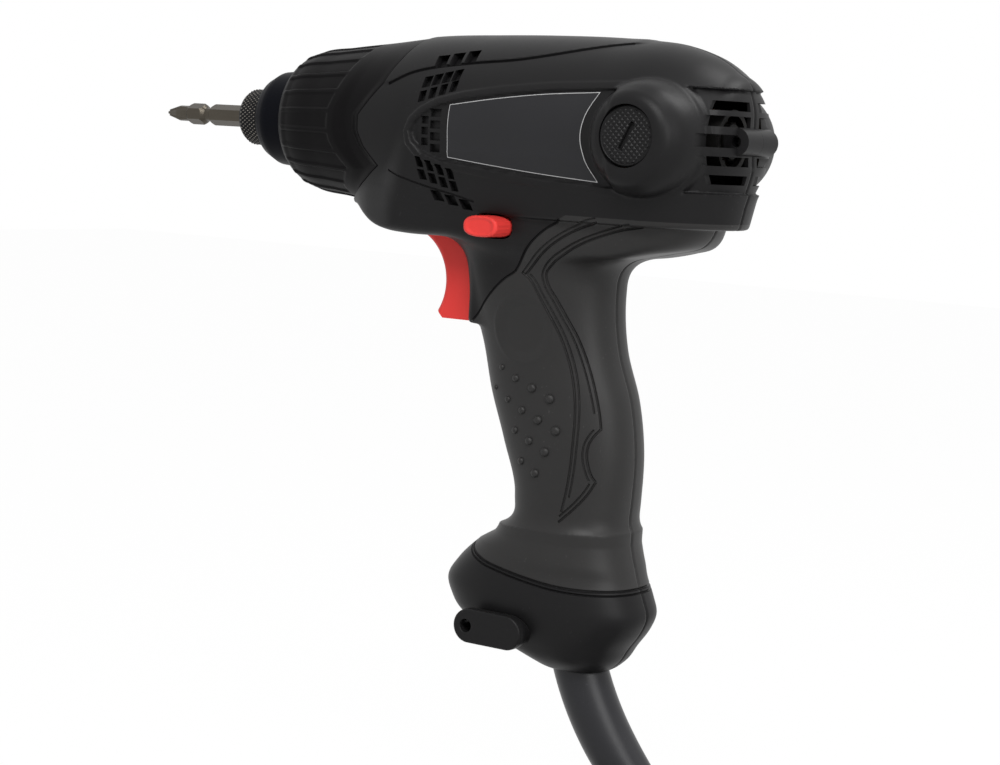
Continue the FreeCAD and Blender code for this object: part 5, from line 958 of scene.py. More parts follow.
def finishes():
    """The finish for each material slot of the record, made once."""
    c = bpy.context.scene.driver_finish
    makers = {
        "housing_black": lambda n: moulded(n, c.housing, 0.42, 2600.0, 0.000016, 0.125),
        "grip_rubber": lambda n: moulded(n, c.rubber, 0.44, 2100.0, 0.000018, 0.22),
        "boot_rubber": lambda n: moulded(n, c.boot, 0.44, 2300.0, 0.000012, 0.055),
        "nose_black": lambda n: moulded(n, c.nose, 0.40, 2800.0, 0.000008, 0.028),
        "trigger_red": lambda n: moulded(n, c.red, 0.42, 2600.0, 0.000006, 0.18, 0.4),
        "label_grey": lambda n: plate_finish(n, c.plate, c.line),
        "bit_steel": lambda n: steel(n, c.bit, 0.34),
        "dark_steel": lambda n: knurled_steel(n, (0.032, 0.032, 0.034)),
        "machined_steel": lambda n: steel(n, (0.52, 0.52, 0.52), 0.3, (900.0, 120.0, 120.0)),
        "spring_steel": lambda n: turned_metal(n, (0.36, 0.36, 0.38), 0.34, 1.0),
        "die_cast": lambda n: turned_metal(n, (0.52, 0.52, 0.53), 0.48, 1.0, 0.00001),
        "bronze": lambda n: turned_metal(n, (0.60, 0.40, 0.19), 0.42, 1.0),
        "copper": lambda n: wound(n, (0.62, 0.29, 0.16)),
        "lamination": lambda n: stacked(n, (0.22, 0.22, 0.23)),
        "carbon": lambda n: moulded(n, (0.02, 0.02, 0.02), 0.6, 1800.0, 0.00001),
        "inner_plastic": lambda n: moulded(n, (0.014, 0.014, 0.015), 0.5, 2000.0, 0.00001, 0.2),
        "cord_rubber": lambda n: moulded(n, c.lead, 0.36, 2400.0, 0.000009, 0.27),
        "pin_metal": lambda n: steel(n, (0.72, 0.70, 0.66), 0.22),
        # Painted shade: near-black steel for kept pieces that sit in shade inside the housing
        "oiled_steel": lambda n: turned_metal(n, (0.035, 0.034, 0.033), 0.6, 1.0),
    }
    return {name: bpy.data.materials.get(name + "_finish") or make(name + "_finish")
            for name, make in makers.items()}


class SCREWDRIVER_OT_stage(Operator):
    """Camera at the photograph's angle, pale floor, white background and soft panels of light."""
    bl_idname = "screwdriver.stage"
    bl_label = "Stage and camera"

    def execute(self, context):
        s = context.scene.driver_stage
        context.scene.view_settings.view_transform = "Standard"
        psi, eps, rho = np.radians([33.5, 6.3, 3.06])
        forward = np.array([-np.sin(psi) * np.cos(eps), np.cos(psi) * np.cos(eps), -np.sin(eps)])
        right = np.array([np.cos(psi), np.sin(psi), 0.0])
        down = np.cross(forward, right)
        across = np.cos(rho) * right - np.sin(rho) * down
        lower = np.cross(forward, across)
        lens = bpy.data.cameras.new("camera")
        lens.sensor_fit = "HORIZONTAL"
        lens.sensor_width = 36.0
        lens.lens = 81.0
        camera = bpy.data.objects.new("camera", lens)
        camera.matrix_world = seat(across, -lower, -forward, (0.3714, -0.6, 0.0887))
        context.scene.collection.objects.link(camera)
        context.scene.camera = camera
        self.floor(s)
        self.world(context, s)
        self.panel(context, "key", s.key, (0.38, -0.75, 0.95), (0.0, 0.0, 0.06), (0.7, 0.5))
        self.panel(context, "fill", s.fill, (0.95, -0.45, 0.40), (-0.02, 0.0, 0.05), (0.6, 0.6))
        self.panel(context, "rim", s.rim, (0.38, 0.42, 0.92), (0.03, 0.0, 0.05), (0.35, 0.6))
        return {"FINISHED"}

    def floor(self, s):
        """Pale floor that the camera sees as white, with part of the shadow kept."""
        level = s.floor * 1000 - AXIS_HEIGHT
        far = 3000.0
        corners = np.array([(-far, -far, level), (far, -far, level), (far, far, level), (-far, far, level)])
        floor = shape("floor", (corners, [[0, 1, 2, 3]]), recalculate=False)
        f = Finish("floor_pale", Roughness=0.9, Specular_IOR_Level=0.0, Base_Color=(0.86, 0.86, 0.86, 1.0))
        light = f.tree.nodes.new("ShaderNodeEmission")
        seen = f.node("ShaderNodeLightPath", out="Is Camera Ray")
        shiny = f.node("ShaderNodeLightPath", out="Is Glossy Ray")
        clear = f.node("ShaderNodeLightPath", out="Is Transmission Ray")
        mixed = f.tree.nodes.new("ShaderNodeMixShader")
        share = (seen + shiny + clear).least(1.0) * 0.975
        f.tree.links.new(share.socket, mixed.inputs[0])
        f.tree.links.new(f.shader.outputs[0], mixed.inputs[1])
        f.tree.links.new(light.outputs[0], mixed.inputs[2])
        f.tree.links.new(mixed.outputs[0], f.tree.nodes["Material Output"].inputs["Surface"])
        floor.data.materials.append(f.material)

    def world(self, context, s):
        """Even light on the object, and white where the camera or a reflection sees the background."""
        world = bpy.data.worlds.new("studio")
        world.use_nodes = True
        tree = world.node_tree
        context.scene.world = world
        path = tree.nodes.new("ShaderNodeLightPath")
        seen = Knot(tree, path.outputs["Is Camera Ray"]) + Knot(tree, path.outputs["Is Glossy Ray"])
        seen = (seen + Knot(tree, path.outputs["Is Transmission Ray"])).least(1.0)
        strength = s.ambient + seen * (1.0 - s.ambient)
        back = tree.nodes["Background"]
        back.inputs["Color"].default_value = (1.0, 1.0, 1.0, 1.0)
        tree.links.new(strength.socket, back.inputs["Strength"])

    def panel(self, context, name, power, place, aim, size):
        """Soft rectangular light at a place, turned to a point."""
        light = bpy.data.lights.new(name, "AREA")
        light.shape = "RECTANGLE"
        light.size, light.size_y = size
        light.energy = power
        lamp = bpy.data.objects.new(name, light)
        away = unit(np.subtract(place, aim))
        side = unit(np.cross((0.0, 0.0, 1.0), away))
        lamp.matrix_world = seat(side, np.cross(away, side), away, place)
        context.scene.collection.objects.link(lamp)


class SCREWDRIVER_OT_lead(Operator):
    """Cord guard, cord with its tied coil, and plug."""
    bl_idname = "screwdriver.lead"
    bl_label = "Mains lead"

    def execute(self, context):
        s = context.scene.driver_lead
        guard = dress(shape("cord_guard_sleeve", self.guard()), "housing", "cord_rubber", "cord_guard")
        plug = dress(shape("plug_moulding", self.plug()), "housing", "cord_rubber", "plug_body")
        weave = woven("tie_weave", (0.02, 0.02, 0.02))
        tie = dress(shape("tie_band", self.tie()), "housing", "cord_rubber", "cord_tie", 50.0, weave)
        route = self.route(s.quarters, s.points)
        curve = bpy.data.curves.new("mains_cord", "CURVE")
        curve.dimensions = "3D"
        curve.bevel_depth = s.diameter / 2
        curve.bevel_resolution = 5
        curve.resolution_u = 6
        line = curve.splines.new("NURBS")
        line.points.add(len(route) - 1)
        flat = np.concatenate([metres(route), np.ones((len(route), 1))], axis=1)
        line.points.foreach_set("co", flat.ravel())
        line.order_u = 3
        line.use_endpoint_u = True
        curve.use_fill_caps = True
        cord = bpy.data.objects.new("mains_cord", curve)
        context.scene.collection.objects.link(cord)
        curve.materials.append(finishes()["cord_rubber"])
        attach(cord, "housing")
        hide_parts("cord", "cord_coil")
        return {"FINISHED"}

    def guard(self):
        """Tapered sleeve: circles square to an arc, with the radius through a row of stations, closing round
        the cord in a rounded lip; a stub runs back into the base."""
        radius = through([0, 0.16, 0.33, 0.5, 0.66, 0.8, 0.9, 1.0],
                         np.array([1, 0.99, 0.975, 0.95, 0.89, 0.79, 0.7, 0.605]) * 8.6)
        share = np.concatenate([[-0.18, -0.1], np.linspace(0, 0.985, 64), [0.995, 1.0, 1.0]])
        place, way = guard_line(np.clip(share, 0, 1))
        place = place + np.minimum(share, 0)[:, None] * GUARD_LENGTH * way
        reach = radius(np.clip(share, 0, 1))
        reach[-3:] -= (0.25, 0.8, 1.6)
        turn = lap(72)
        side = np.array([0.0, 1.0, 0.0])
        other = np.cross(way, side)
        grid = place[:, None] + reach[:, None, None] * (np.cos(turn)[None, :, None] * side
                                                        + np.sin(turn)[None, :, None] * other[:, None])
        return tube(grid)

    def route(self, quarters, points):
        """Control points of the cord: the guard's tip, the run down to the coil, four layers wound from the
        top (in, out, then in on the floor and out above that), and the run to the plug."""
        start = [(46.43, 0.0, -211.75), (54.06, 0.0, -216.52), (64.64, 0.0, COIL_TOP)]
        quarter = np.arange(0, quarters * points + 1) / points
        turn = np.radians(90.0 - 90.0 * quarter)
        reach = (28.7 + LAYER * np.abs(quarter % 16 - 8) / 4) * 1.035
        depth = np.interp(quarter, [7, 9, 15, 16, 17, 23, 25], [0, 1, 1, 2.25, 3, 3, 2])
        coil = np.stack([COIL_X + reach * np.cos(turn), COIL_Y + reach * np.sin(turn),
                         COIL_TOP - LAYER * depth], axis=1)
        end = [(COIL_X, -85.0, PLUG_LEVEL), (60.75, -80.6, PLUG_LEVEL), (42.0, -67.6, PLUG_LEVEL),
               (21.81, -53.47, PLUG_LEVEL)]
        return np.concatenate([start, coil[:-1], end])

    def plug(self):
        """Plug moulding: superellipse sections of power 2.5 along its way, with shallow finger grooves and a
        rounded face."""
        along = np.concatenate([np.linspace(0, 0.97, 70), [0.985, 0.995, 1.0, 1.0]])
        wide = through([0, 0.3, 0.62, 0.78, 1], [5.4, 7.56, 15.48, 18, 18])(along)
        high = through([0, 0.3, 0.62, 0.78, 1], [5.4, 6.7, 9.72, 10.8, 10.8])(along)
        rib = 0.45 * (0.5 - 0.5 * np.cos(2 * np.pi * along * 14)) * ((along > 0.02) & (along < 0.36))
        inset = np.zeros(len(along))
        inset[-4:] = (0.15, 0.6, 1.3, 2.0)
        turn = lap(96)
        c, s = squarish(turn, 2.5)
        way = np.array([-0.819152, 0.573576, 0.0])
        side = np.array([-0.573576, -0.819152, 0.0])
        up = np.array([0.0, 0.0, 1.0])
        start = np.array([23.45, -54.62, PLUG_LEVEL])
        grid = (start + along[:, None, None] * 38.0 * way
                + ((wide - rib - inset)[:, None] * c)[:, :, None] * side
                + ((high - rib - inset)[:, None] * s)[:, :, None] * up)
        return tube(grid)

    def tie(self):
        """Band round the turns: a flat section carried round a squarish loop, a superellipse of power 7."""
        turn = lap(120)
        c, s = squarish(turn, 7)
        loop = np.stack([COIL_X + 0 * c, -80.2 + 8.3 * c, -230.95 + 15.9 * s], axis=1)
        way = unit(np.roll(loop, -1, axis=0) - np.roll(loop, 1, axis=0))
        out = np.cross(way, (1.0, 0.0, 0.0))
        out *= np.sign((out * (loop - loop.mean(axis=0))).sum(axis=1, keepdims=True))
        section = np.array([(-4.5, 0.0), (-4.4, 0.45), (-4.0, 0.55), (0.0, 0.6), (4.0, 0.55), (4.4, 0.45),
                            (4.5, 0.0), (4.4, -0.45), (0.0, -0.55), (-4.4, -0.45)])
        grid = loop[:, None] + section[None, :, :1] * (1.0, 0.0, 0.0) + section[None, :, 1:] * out[:, None]
        return ring(grid)


class SCREWDRIVER_OT_housing(Operator):
    """Both moulded housing halves and the soft grip skins on them."""
    bl_idname = "screwdriver.housing"
    bl_label = "Housing and grip skins"

    def execute(self, context):
        s = context.scene.driver_shell
        pitch, wall, skin = s.pitch * 1000, s.wall * 1000, s.skin * 1000
        width, depth = s.groove * 1000, s.groove_depth * 1000

        def half(x, y, z):
            """Left half of the shell, a little past the parting."""
            return np.maximum(shell_field(x, y, z), np.maximum(y - 1.2, -91.4 - x))

        def hollow(x, y, z):
            """Room inside the wall."""
            return np.maximum(plain_shell(x, y, z) + wall, np.maximum(y - 3.0, -92.3 - x))

        def liner(x, y, z):
            """What lies under the soft skin."""
            ends = np.maximum(np.maximum(y - 3.0, z + 16.0), np.maximum(-43.0 - x, -158.0 - z))
            return np.maximum(plain_shell(x, y, z) + skin, ends)

        def screen(x, y, z):
            """Thin screen behind the front air cells, at the inner face of the wall."""
            depth = plain_shell(x, y, z)
            ends = np.maximum(np.abs(x + 33.5) - 13.0, np.maximum(y + 4.0, np.abs(z) - 25.8))
            return np.maximum(np.maximum(depth + wall - 0.5, -wall - 0.5 - depth), ends)

        outer = net(half, (-92.1, -36.3, -169.5), (63.3, 2.1, 32.1), pitch)
        mesh_screen = net(screen, (-48.0, -31.0, -27.0), (-19.0, -2.0, 27.0), 0.45)
        core = net(hollow, (-93.0, -37.0, -169.0), (63.0, 5.0, 32.0), 1.7)
        under = net(liner, (-45.0, -30.0, -160.0), (62.0, 5.0, -14.0), 1.5)
        rim = side_groove(PAD_LINE, width, depth)
        apex = [side_groove(APEX_LINE, width, depth),
                side_groove(shifted(spaced(APEX_LINE, 3), width * 1.55)[1:], width * 0.7, depth * 0.6)]
        rear = [side_groove(BLADE_REAR, width, depth),
                side_groove(shifted(spaced(BLADE_REAR, 2.5), -width * 1.5)[1:-2], width * 0.8, depth * 0.8)]
        notch = [side_groove(BLADE_NOTCH, width, depth, 0.8), side_groove(BLADE_TIP, width, depth, 0.8)]
        for line in (BLADE_NOTCH, BLADE_TIP):
            beside = shifted(spaced(line, 1.2), -width * 1.5)
            notch.append(side_groove(beside[1:-1], width * 0.8, depth * 0.8, 0.8))
        feet = [base_groove(0.0, width * 1.1, depth * 1.1), base_groove(width * 1.5, width * 0.9, depth)]
        spine = side_groove(SPINE_LINE, width * 1.1, depth * 1.3)
        cheek = side_groove(CHEEK_LINE, width * 0.8, depth * 0.8)
        bumps = combined([self.bump(x, z, r) for x, z, r in BUMPS])
        heads = combined([rod((x, reach - 2.9, z), (x, 60.0, z), 3.15) for x, z, reach in SCREWS])
        post = SCREWS[0][0]
        skin_bars = [rim] + apex + rear + notch + feet[:1] + grip_lines(width, depth)
        shell_bars = [spine, cheek, rim] + apex[:1] + feet
        beyond = box((-200.0, -0.04, -200.0), (200.0, 60.0, 100.0))
        for side, flip in (("left", False), ("right", True)):
            turn = mirrored if flip else (lambda form: form)
            room = shape("skin_room", turn(prism(skin_corners(), -60.0, -0.04)))
            carve(room, [("DIFFERENCE", turn(under))])
            space = self.form(room)
            grip = shape(side + "_grip_skin", turn(outer), recalculate=False)
            cuts = [("INTERSECT", space), ("UNION", turn(bumps))]
            cuts += [("DIFFERENCE", turn(bar)) for bar in skin_bars]
            if flip:
                cuts.append(("DIFFERENCE", heads))
            carve(grip, cuts)
            dress(grip, "housing", "grip_rubber", side + "_grip")
            shell = shape(side + "_housing_shell", turn(outer), recalculate=False)
            cuts = [("DIFFERENCE", turn(beyond)), ("DIFFERENCE", turn(core)), ("DIFFERENCE", space)]
            cuts += [(kind, turn(form)) for kind, form in shared_cuts()]
            cuts += [("DIFFERENCE", turn(bar)) for bar in shell_bars]
            cuts.append(("UNION", turn(rod((post, -9.5, 0.0), (post, -0.04, 0.0), 4.2, 64))))
            cuts.append(("UNION", turn(mesh_screen)))
            if flip:
                cuts.append(("DIFFERENCE", heads))
            else:
                cuts.append(("DIFFERENCE", rod((post, -20.0, 0.0), (post, -4.0, 0.0), 1.65, 32)))
            carve(shell, cuts)
            dress(shell, "housing", "housing_black", side + "_housing")
            spare = room.data
            bpy.data.objects.remove(room)
            bpy.data.meshes.remove(spare)
        return {"FINISHED"}

    def form(self, piece):
        """Points and faces of a carved piece, in millimetres about the tool axis."""
        mesh = piece.data
        points = np.empty(len(mesh.vertices) * 3)
        mesh.vertices.foreach_get("co", points)
        faces = [list(side.vertices) for side in mesh.polygons]
        return points.reshape(-1, 3) * 1000.0 - (0.0, 0.0, AXIS_HEIGHT), faces

    def bump(self, x, z, radius):
        """Low dome on the left pad: a squat ball sunk half into the skin."""
        centre = np.array([[x, -side_reach([x], [z])[0], z]])
        out = slope_of(plain_shell, centre)[0]
        one = unit(np.cross(out, (0.0, 0.0, 1.0)))
        two = np.cross(out, one)
        lean = np.radians(np.linspace(4, 176, 13))
        turn = lap(20)
        flat = radius * np.sin(lean)[:, None]
        grid = (centre[0] + 0.8 * radius * np.cos(lean)[:, None, None] * out
                + (flat * np.cos(turn))[:, :, None] * one + (flat * np.sin(turn))[:, :, None] * two)
        return tube(grid)


class SCREWDRIVER_OT_nose(Operator):
    """Ridged nose boot and knurled chuck sleeve."""
    bl_idname = "screwdriver.nose"
    bl_label = "Nose boot and chuck sleeve"

    def execute(self, context):
        s = context.scene.driver_shell
        dress(shape("nose_boot_skin", self.boot(s.ribs)), "housing", "boot_rubber", "nose_boot", 28.0)
        form, crest = self.sleeve(s.knurls)
        sleeve = shape("knurled_sleeve", form)
        mark(sleeve, "crest", crest)
        dress(sleeve, "chuck_sleeve", "dark_steel", "chuck_sleeve", 60.0)
        return {"FINISHED"}

    def boot(self, ribs):
        """Boot: a profile of radii carried round the axis to the seam, with thin ribs that run out into a
        raised collar, a scooped cheek between collar and seam, and an inner wall."""
        front = BOOT_FRONT
        radius = through(front + BOOT_LENGTH * np.array([0, 0.008, 0.045, 0.11, 0.35, 0.67, 1]),
                         BODY_R * np.array([0.57, 0.63, 0.715, 0.762, 0.822, 0.886, 0.962]))
        seam, ridge = (boot_edge(shares[::-1])[::-1] for shares in (SEAM, RIDGE))
        turn = lap(ribs * 18)
        up = np.sin(turn)
        rear = np.full(turn.shape, -70.0)
        for _ in range(12):
            rear = np.interp(radius(rear) * up, *seam) - 0.25
        share = np.concatenate([[0, 0.002, 0.008, 0.018, 0.03], np.linspace(0.045, 1, 84)])[:, None]
        x = front + share * (rear - front)[None, :]
        stop = np.interp(radius(x) * up, *ridge)
        phase = (turn * ribs / (2 * np.pi)) % 1.0
        gap = np.abs(phase - 0.5) * 2 * np.pi * radius(x) / ribs
        line = ease((1.0 - gap) / 0.55)
        body = ease((stop - x) / 1.4)
        start = ease((x - front - 1.6) / 3.0)
        cheek = ease((x - stop - 2.0) / 5.0) * ease((rear - x) / 4.0)
        cheek = cheek * np.exp(-((radius(x) * up + 4) / 13.0) ** 2)
        reach = radius(x) - 0.15 + body * start * (0.55 * line - 0.2) + (1 - body) * 0.35 - 1.7 * cheek
        reach = reach - 0.35 * ease((x - rear + 0.7) / 0.7)
        inner_share = np.linspace(1, 0, 26)[:, None]
        inner_x = front + 0.4 + inner_share * (rear - front - 0.4)[None, :]
        inner = np.interp(inner_x, [front, -99.2, -98.4, -64.2, -63.4, -50.0],
                          [13.3, 13.3, 21.6, 21.6, 25.15, 25.15])
        inner = np.minimum(inner, radius(inner_x) - 0.9)
        along = np.concatenate([x, inner_x])
        reach = np.concatenate([reach, inner])
        grid = np.stack([along, reach * np.cos(turn), reach * up], axis=-1)
        return ring(grid)

    def sleeve(self, count):
        """Chuck sleeve: two crossed helical waves on a cylinder, the lesser of which is the height of the
        diamond points; plain chamfered ends and a stepped bore."""
        turn = lap(count * 9)
        x = np.linspace(-131.2, -116.4, 104)
        pitch = 2 * np.pi * 9.5 / count
        a = count * turn[None, :] / (2 * np.pi) + x[:, None] / pitch * 0.72
        b = count * turn[None, :] / (2 * np.pi) - x[:, None] / pitch * 0.72
        height = np.minimum(np.abs(np.sin(np.pi * a)), np.abs(np.sin(np.pi * b)))
        reach = 9.5 - 0.42 * (1 - height)
        before = np.array([(-117.2, 7.25), (-117.2, 8.35), (-123.35, 8.35), (-123.35, 7.3), (-126.05, 7.3),
                           (-126.05, 8.35), (-131.9, 8.35), (-132.2, 8.5), (-132.2, 8.7), (-131.6, 9.0)])
        after = np.array([(-116.0, 9.1), (-115.6, 8.7), (-115.6, 7.25)])
        level = np.ones(len(turn))
        along = np.concatenate([before[:, :1] * level, x[:, None] * level, after[:, :1] * level])
        radius = np.concatenate([before[:, 1:] * level, reach, after[:, 1:] * level])
        plain = [np.full((len(rows), len(turn)), 0.2) for rows in (before, after)]
        crest = np.concatenate([plain[0], height, plain[1]])
        grid = np.stack([along, radius * np.cos(turn), radius * np.sin(turn)], axis=-1)
        return ring(grid), crest.ravel()


class SCREWDRIVER_OT_trim(Operator):
    """Brush caps and bare name plate."""
    bl_idname = "screwdriver.trim"
    bl_label = "Brush caps and name plate"

    def execute(self, context):
        cap = self.cap()
        for side, form in (("left", cap), ("right", mirrored(cap))):
            cover = shape(side + "_brush_cap_cover", form)
            dress(cover, "housing", "housing_black", side + "_brush_cap", 50.0)
        form, edge = self.plate()
        plate = shape("bare_name_plate", form)
        mark(plate, "edge", edge)
        dress(plate, "housing", "label_grey", "name_plate")
        return {"FINISHED"}

    def cap(self):
        """Left brush cap: rings from the middle out; small pyramids on the face as the lesser of two crossed
        triangle waves, a driver slot, a plain rim, and a shank."""
        rings, around = 78, 240
        turn = lap(around)
        reach = np.linspace(0.05, 8.3, rings)[:, None]
        u, v = reach * np.cos(turn), reach * np.sin(turn)

        def wave(value):
            return 1 - np.abs(((value / 1.3) % 1.0) * 2 - 1)

        points = np.minimum(wave((u + v) * 0.7071), wave((u - v) * 0.7071))
        lean = math.radians(63)
        along = u * math.cos(lean) + v * math.sin(lean)
        aside = -u * math.sin(lean) + v * math.cos(lean)
        slot = ease((0.85 - np.abs(aside)) / 0.3) * ease((4.6 - np.abs(along)) / 0.4)
        rise = np.where(reach < 8.0, 0.42 * points, 0.0) * (1 - slot) - 1.0 * slot
        rim = np.array([(8.45, 0.15), (8.7, 0.1), (8.95, -0.15), (9.05, -0.6), (9.05, -3.2), (8.0, -3.4),
                        (0.05, -3.4)])
        level = np.ones(around)
        depth = np.concatenate([rise, rim[:, 1:] * level])
        radius = np.concatenate([reach * level, rim[:, :1] * level])
        grid = np.stack([BOSS_X + radius * np.cos(turn), -33.9 - depth, radius * np.sin(turn)], axis=-1)
        return tube(grid)

    def plate(self):
        """Plate bent on to its bed: side-view grid between its four edges, lifted a little off the shell; the
        edge value is the distance to the nearest edge."""
        u = np.linspace(0, 1, 180)[None, :]
        v = np.linspace(0, 1, 72)[:, None]
        right = through([0, 0.21, 0.45, 0.7, 1], [23.0, 19.3, 17.2, 17.9, 21.6])(v)
        left = -31.6
        wide = right - left
        x = left + u * wide
        top = 7.0 + 5.7 * through([0, 0.3, 0.6, 1], [0, 0.42, 0.75, 1.0])(u)
        low = -9.6 - 4.8 * through([0, 0.3, 0.6, 1], [0, 0.36, 0.68, 1.0])(u)
        z = low + v * (top - low)
        reach = side_reach(x.ravel(), z.ravel()).reshape(x.shape)
        edge = np.minimum(np.minimum(u, 1 - u) * wide, np.minimum(v, 1 - v) * (top - low))
        rows, columns = x.shape
        face = np.stack([x, -(reach + 0.16 - 0.08 * np.exp(-edge / 0.12)), z], axis=-1)
        back = np.stack([x, -(reach - 0.25), z], axis=-1)
        points = np.concatenate([face.reshape(-1, 3), back.reshape(-1, 3)])
        front = cells_of(rows, columns, close_columns=False)
        rim = np.concatenate([np.arange(columns), np.arange(1, rows) * columns + columns - 1,
                              rows * columns - 2 - np.arange(columns - 1),
                              np.arange(rows - 2, 0, -1) * columns])
        after = np.roll(rim, -1)
        wall = np.stack([rim, after, after + rows * columns, rim + rows * columns], axis=1)
        faces = np.concatenate([front, front[:, ::-1] + rows * columns, wall]).tolist()
        return (points, faces), np.concatenate([edge.ravel(), edge.ravel()])


class SCREWDRIVER_OT_controls(Operator):
    """Reverse lever with its ribbed knobs, and the strap lug."""
    bl_idname = "screwdriver.controls"
    bl_label = "Reverse lever and strap lug"

    def execute(self, context):
        lever = net(self.lever, (-25.0, -32.6, -35.0), (-7.0, 25.2, -24.5), 0.33, 3)
        knob = shape("reverse_lever_knob", lever, recalculate=False)
        dress(knob, "reverse_lever", "trigger_red", "reverse_lever", 50.0)
        lug = net(self.lug, (-23.5, -27.2, -162.5), (6.0, -13.0, -147.5), 0.33, 3)
        plate = shape("strap_lug_plate", lug, recalculate=False)
        dress(plate, "housing", "housing_black", "strap_lug", 50.0)
        return {"FINISHED"}

    def lever(self, x, y, z):
        """Lever: a rounded bar across the tool with dished ends and fine ribs round its sides near them."""
        dx, dz = np.abs(x - LEVER_X) / 6.3, np.abs(z - LEVER_Z) / 3.3
        out = np.abs(y + 3.75)
        q = (dx ** 2.6 + dz ** 2.6) ** (1 / 2.6)
        side = np.hypot(dx * 6.3, dz * 3.3) * (1 - 1 / np.maximum(q, 0.05))
        angle = np.arctan2(z - LEVER_Z, x - LEVER_X)
        near = ease(out - 19.5) * ease(26.6 - out)
        side = side + 0.16 * near * (0.5 + 0.5 * np.cos(angle * 30)) * ease((np.abs(x - LEVER_X) - 1.0) / 2.0)
        dish = 0.5 * ease((0.86 - q) / 0.25)
        return meet(side, out - 27.2 + dish, 1.3)

    def lug(self, x, y, z):
        """Lug: a rounded plate with a hole, on a stem."""
        flat = np.hypot(np.maximum(np.abs(x + 9.0) - 7.1, 0), z + 155.0) - 5.4
        plate = meet(flat, np.abs(y + 24.0) - 2.0, 0.9)
        hole = np.hypot(x + 16.856, z + 155.0)
        collar = meet(hole - 3.4, np.maximum(-24.0 - y, y + 18.0), 0.5)
        plate = meet(merge(plate, collar, 0.5), 2.05 - hole, 0.5)
        stem = np.hypot(np.maximum(np.abs(x + 3.75) - 3.0, 0), z + 155.0) - 4.2
        stem = meet(stem, np.maximum(-24.0 - y, y + 14.6), 0.6)
        return merge(plate, stem, 1.2)


# Springs: node, pieces before and behind, height of the axis, radius, wire, turns, first and last place along
SPRINGS = [
    ("hammer_spring", "hammer", "spindle", 0.0, 13.4, 2.2, 4, -83.5, -64.9),
    ("sleeve_spring", "anvil", "chuck_sleeve", 0.0, 7.65, 0.5, 2, -130.4, -126.1),
    ("trigger_spring", "trigger", "housing", -47.0, 4.6, 0.8, 4, -25.0, -13.6),
]


class SCREWDRIVER_OT_springs(Operator):
    """Springs of hammer, chuck sleeve and trigger."""
    bl_idname = "screwdriver.springs"
    bl_label = "Springs"

    def execute(self, context):
        for name, front, rear, height, radius, wire, turns, first, last in SPRINGS:
            coil = shape(name + "_coil", self.form(height, radius, wire, turns, first, last))
            coil.data.shade_smooth()
            coil.data.materials.append(finishes()["spring_steel"])
            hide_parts(name)
            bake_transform(coil)
        return {"FINISHED"}

    def form(self, height, radius, wire, turns, start, end):
        """Coil spring along the tool: a round wire carried along a helix, square to it."""
        turn = np.linspace(0, 2 * np.pi * turns, turns * 48 + 1)
        along = np.linspace(start + wire / 2, end - wire / 2, len(turn))
        out = np.stack([0 * turn, np.cos(turn), np.sin(turn)], axis=1)
        path = np.stack([along, 0 * turn, 0 * turn + height], axis=1) + radius * out
        beside = np.cross(unit(np.gradient(path, axis=0)), out)
        around = lap(12)[None, :, None]
        circle = np.cos(around) * out[:, None] + np.sin(around) * beside[:, None]
        return tube(path[:, None] + wire / 2 * circle)


# Kept pieces painted darker than their slot: painted shade on the rear bearing behind the rear slots; the
# housing screws are darkened alike
SHADE_DARKENED = ("rear_bearing", "housing_screws")


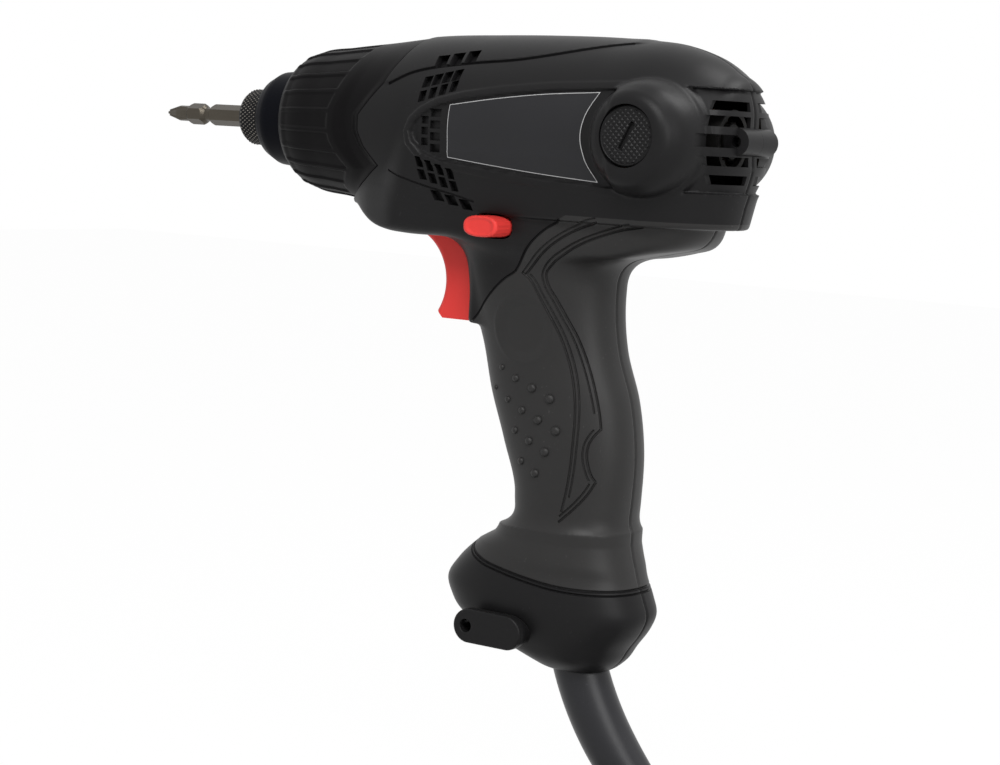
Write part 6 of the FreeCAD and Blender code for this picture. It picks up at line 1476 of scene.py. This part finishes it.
class SCREWDRIVER_OT_metalwork(Operator):
    """Finishes and smooth shading of the CAD pieces that stay."""
    bl_idname = "screwdriver.metalwork"
    bl_label = "Kept pieces"

    def execute(self, context):
        finish = finishes()
        slots = {part["node"]: part["material_slot"] for part in frame["record"]["subparts"]}
        group = self.softener()
        for name, node in frame["nodes"].items():
            if node.hide_render:
                continue
            node.data.materials.clear()
            # Pieces in shade get the painted-shade steel instead of their slot's finish
            node.data.materials.append(finish["oiled_steel" if name in SHADE_DARKENED else slots[name]])
            smooth = node.modifiers.new("smooth", "NODES")
            smooth.node_group = group
        return {"FINISHED"}

    def softener(self):
        """Geometry nodes that join doubled points and shade smooth except at sharp edges."""
        group = bpy.data.node_groups.new("soften", "GeometryNodeTree")
        group.interface.new_socket("Geometry", in_out="INPUT", socket_type="NodeSocketGeometry")
        group.interface.new_socket("Geometry", in_out="OUTPUT", socket_type="NodeSocketGeometry")
        nodes, links = group.nodes, group.links
        start, end = nodes.new("NodeGroupInput"), nodes.new("NodeGroupOutput")
        join = nodes.new("GeometryNodeMergeByDistance")
        join.inputs["Distance"].default_value = 0.000002
        smooth = nodes.new("GeometryNodeSetShadeSmooth")
        angle = nodes.new("GeometryNodeInputMeshEdgeAngle")
        sharp = nodes.new("FunctionNodeCompare")
        sharp.operation = "GREATER_THAN"
        sharp.inputs[1].default_value = math.radians(32)
        crease = nodes.new("GeometryNodeSetShadeSmooth")
        crease.domain = "EDGE"
        crease.inputs["Shade Smooth"].default_value = False
        links.new(start.outputs[0], join.inputs[0])
        links.new(join.outputs[0], smooth.inputs[0])
        links.new(angle.outputs[0], sharp.inputs[0])
        links.new(sharp.outputs[0], crease.inputs["Selection"])
        links.new(smooth.outputs[0], crease.inputs[0])
        links.new(crease.outputs[0], end.inputs[0])
        return group


class SCREWDRIVER_PT_pieces(Panel):
    """Sidebar list of the screwdriver's pieces."""
    bl_idname = "SCREWDRIVER_PT_pieces"
    bl_label = "Electric screwdriver"
    bl_space_type = "VIEW_3D"
    bl_region_type = "UI"
    bl_category = "Screwdriver"

    def draw(self, context):
        for operator in OPERATORS:
            self.layout.operator(operator.bl_idname)


SETTINGS = {"driver_shell": ShellSettings, "driver_finish": FinishSettings, "driver_lead": LeadSettings,
            "driver_stage": StageSettings}
OPERATORS = [SCREWDRIVER_OT_stage, SCREWDRIVER_OT_lead, SCREWDRIVER_OT_housing, SCREWDRIVER_OT_nose,
             SCREWDRIVER_OT_trim, SCREWDRIVER_OT_controls, SCREWDRIVER_OT_springs, SCREWDRIVER_OT_metalwork]


def register():
    for name, group in SETTINGS.items():
        bpy.utils.register_class(group)
        setattr(bpy.types.Scene, name, PointerProperty(type=group))
    for operator in OPERATORS:
        bpy.utils.register_class(operator)
    bpy.utils.register_class(SCREWDRIVER_PT_pieces)


def unregister():
    bpy.utils.unregister_class(SCREWDRIVER_PT_pieces)
    for operator in reversed(OPERATORS):
        bpy.utils.unregister_class(operator)
    for name, group in reversed(list(SETTINGS.items())):
        delattr(bpy.types.Scene, name)
        bpy.utils.unregister_class(group)


def main():
    register()
    bpy.ops.screwdriver.stage()
    bpy.ops.screwdriver.lead()
    bpy.ops.screwdriver.housing()
    bpy.ops.screwdriver.nose()
    bpy.ops.screwdriver.trim()
    bpy.ops.screwdriver.controls()
    bpy.ops.screwdriver.springs()
    bpy.ops.screwdriver.metalwork()


if __name__ == "__main__":
    main()
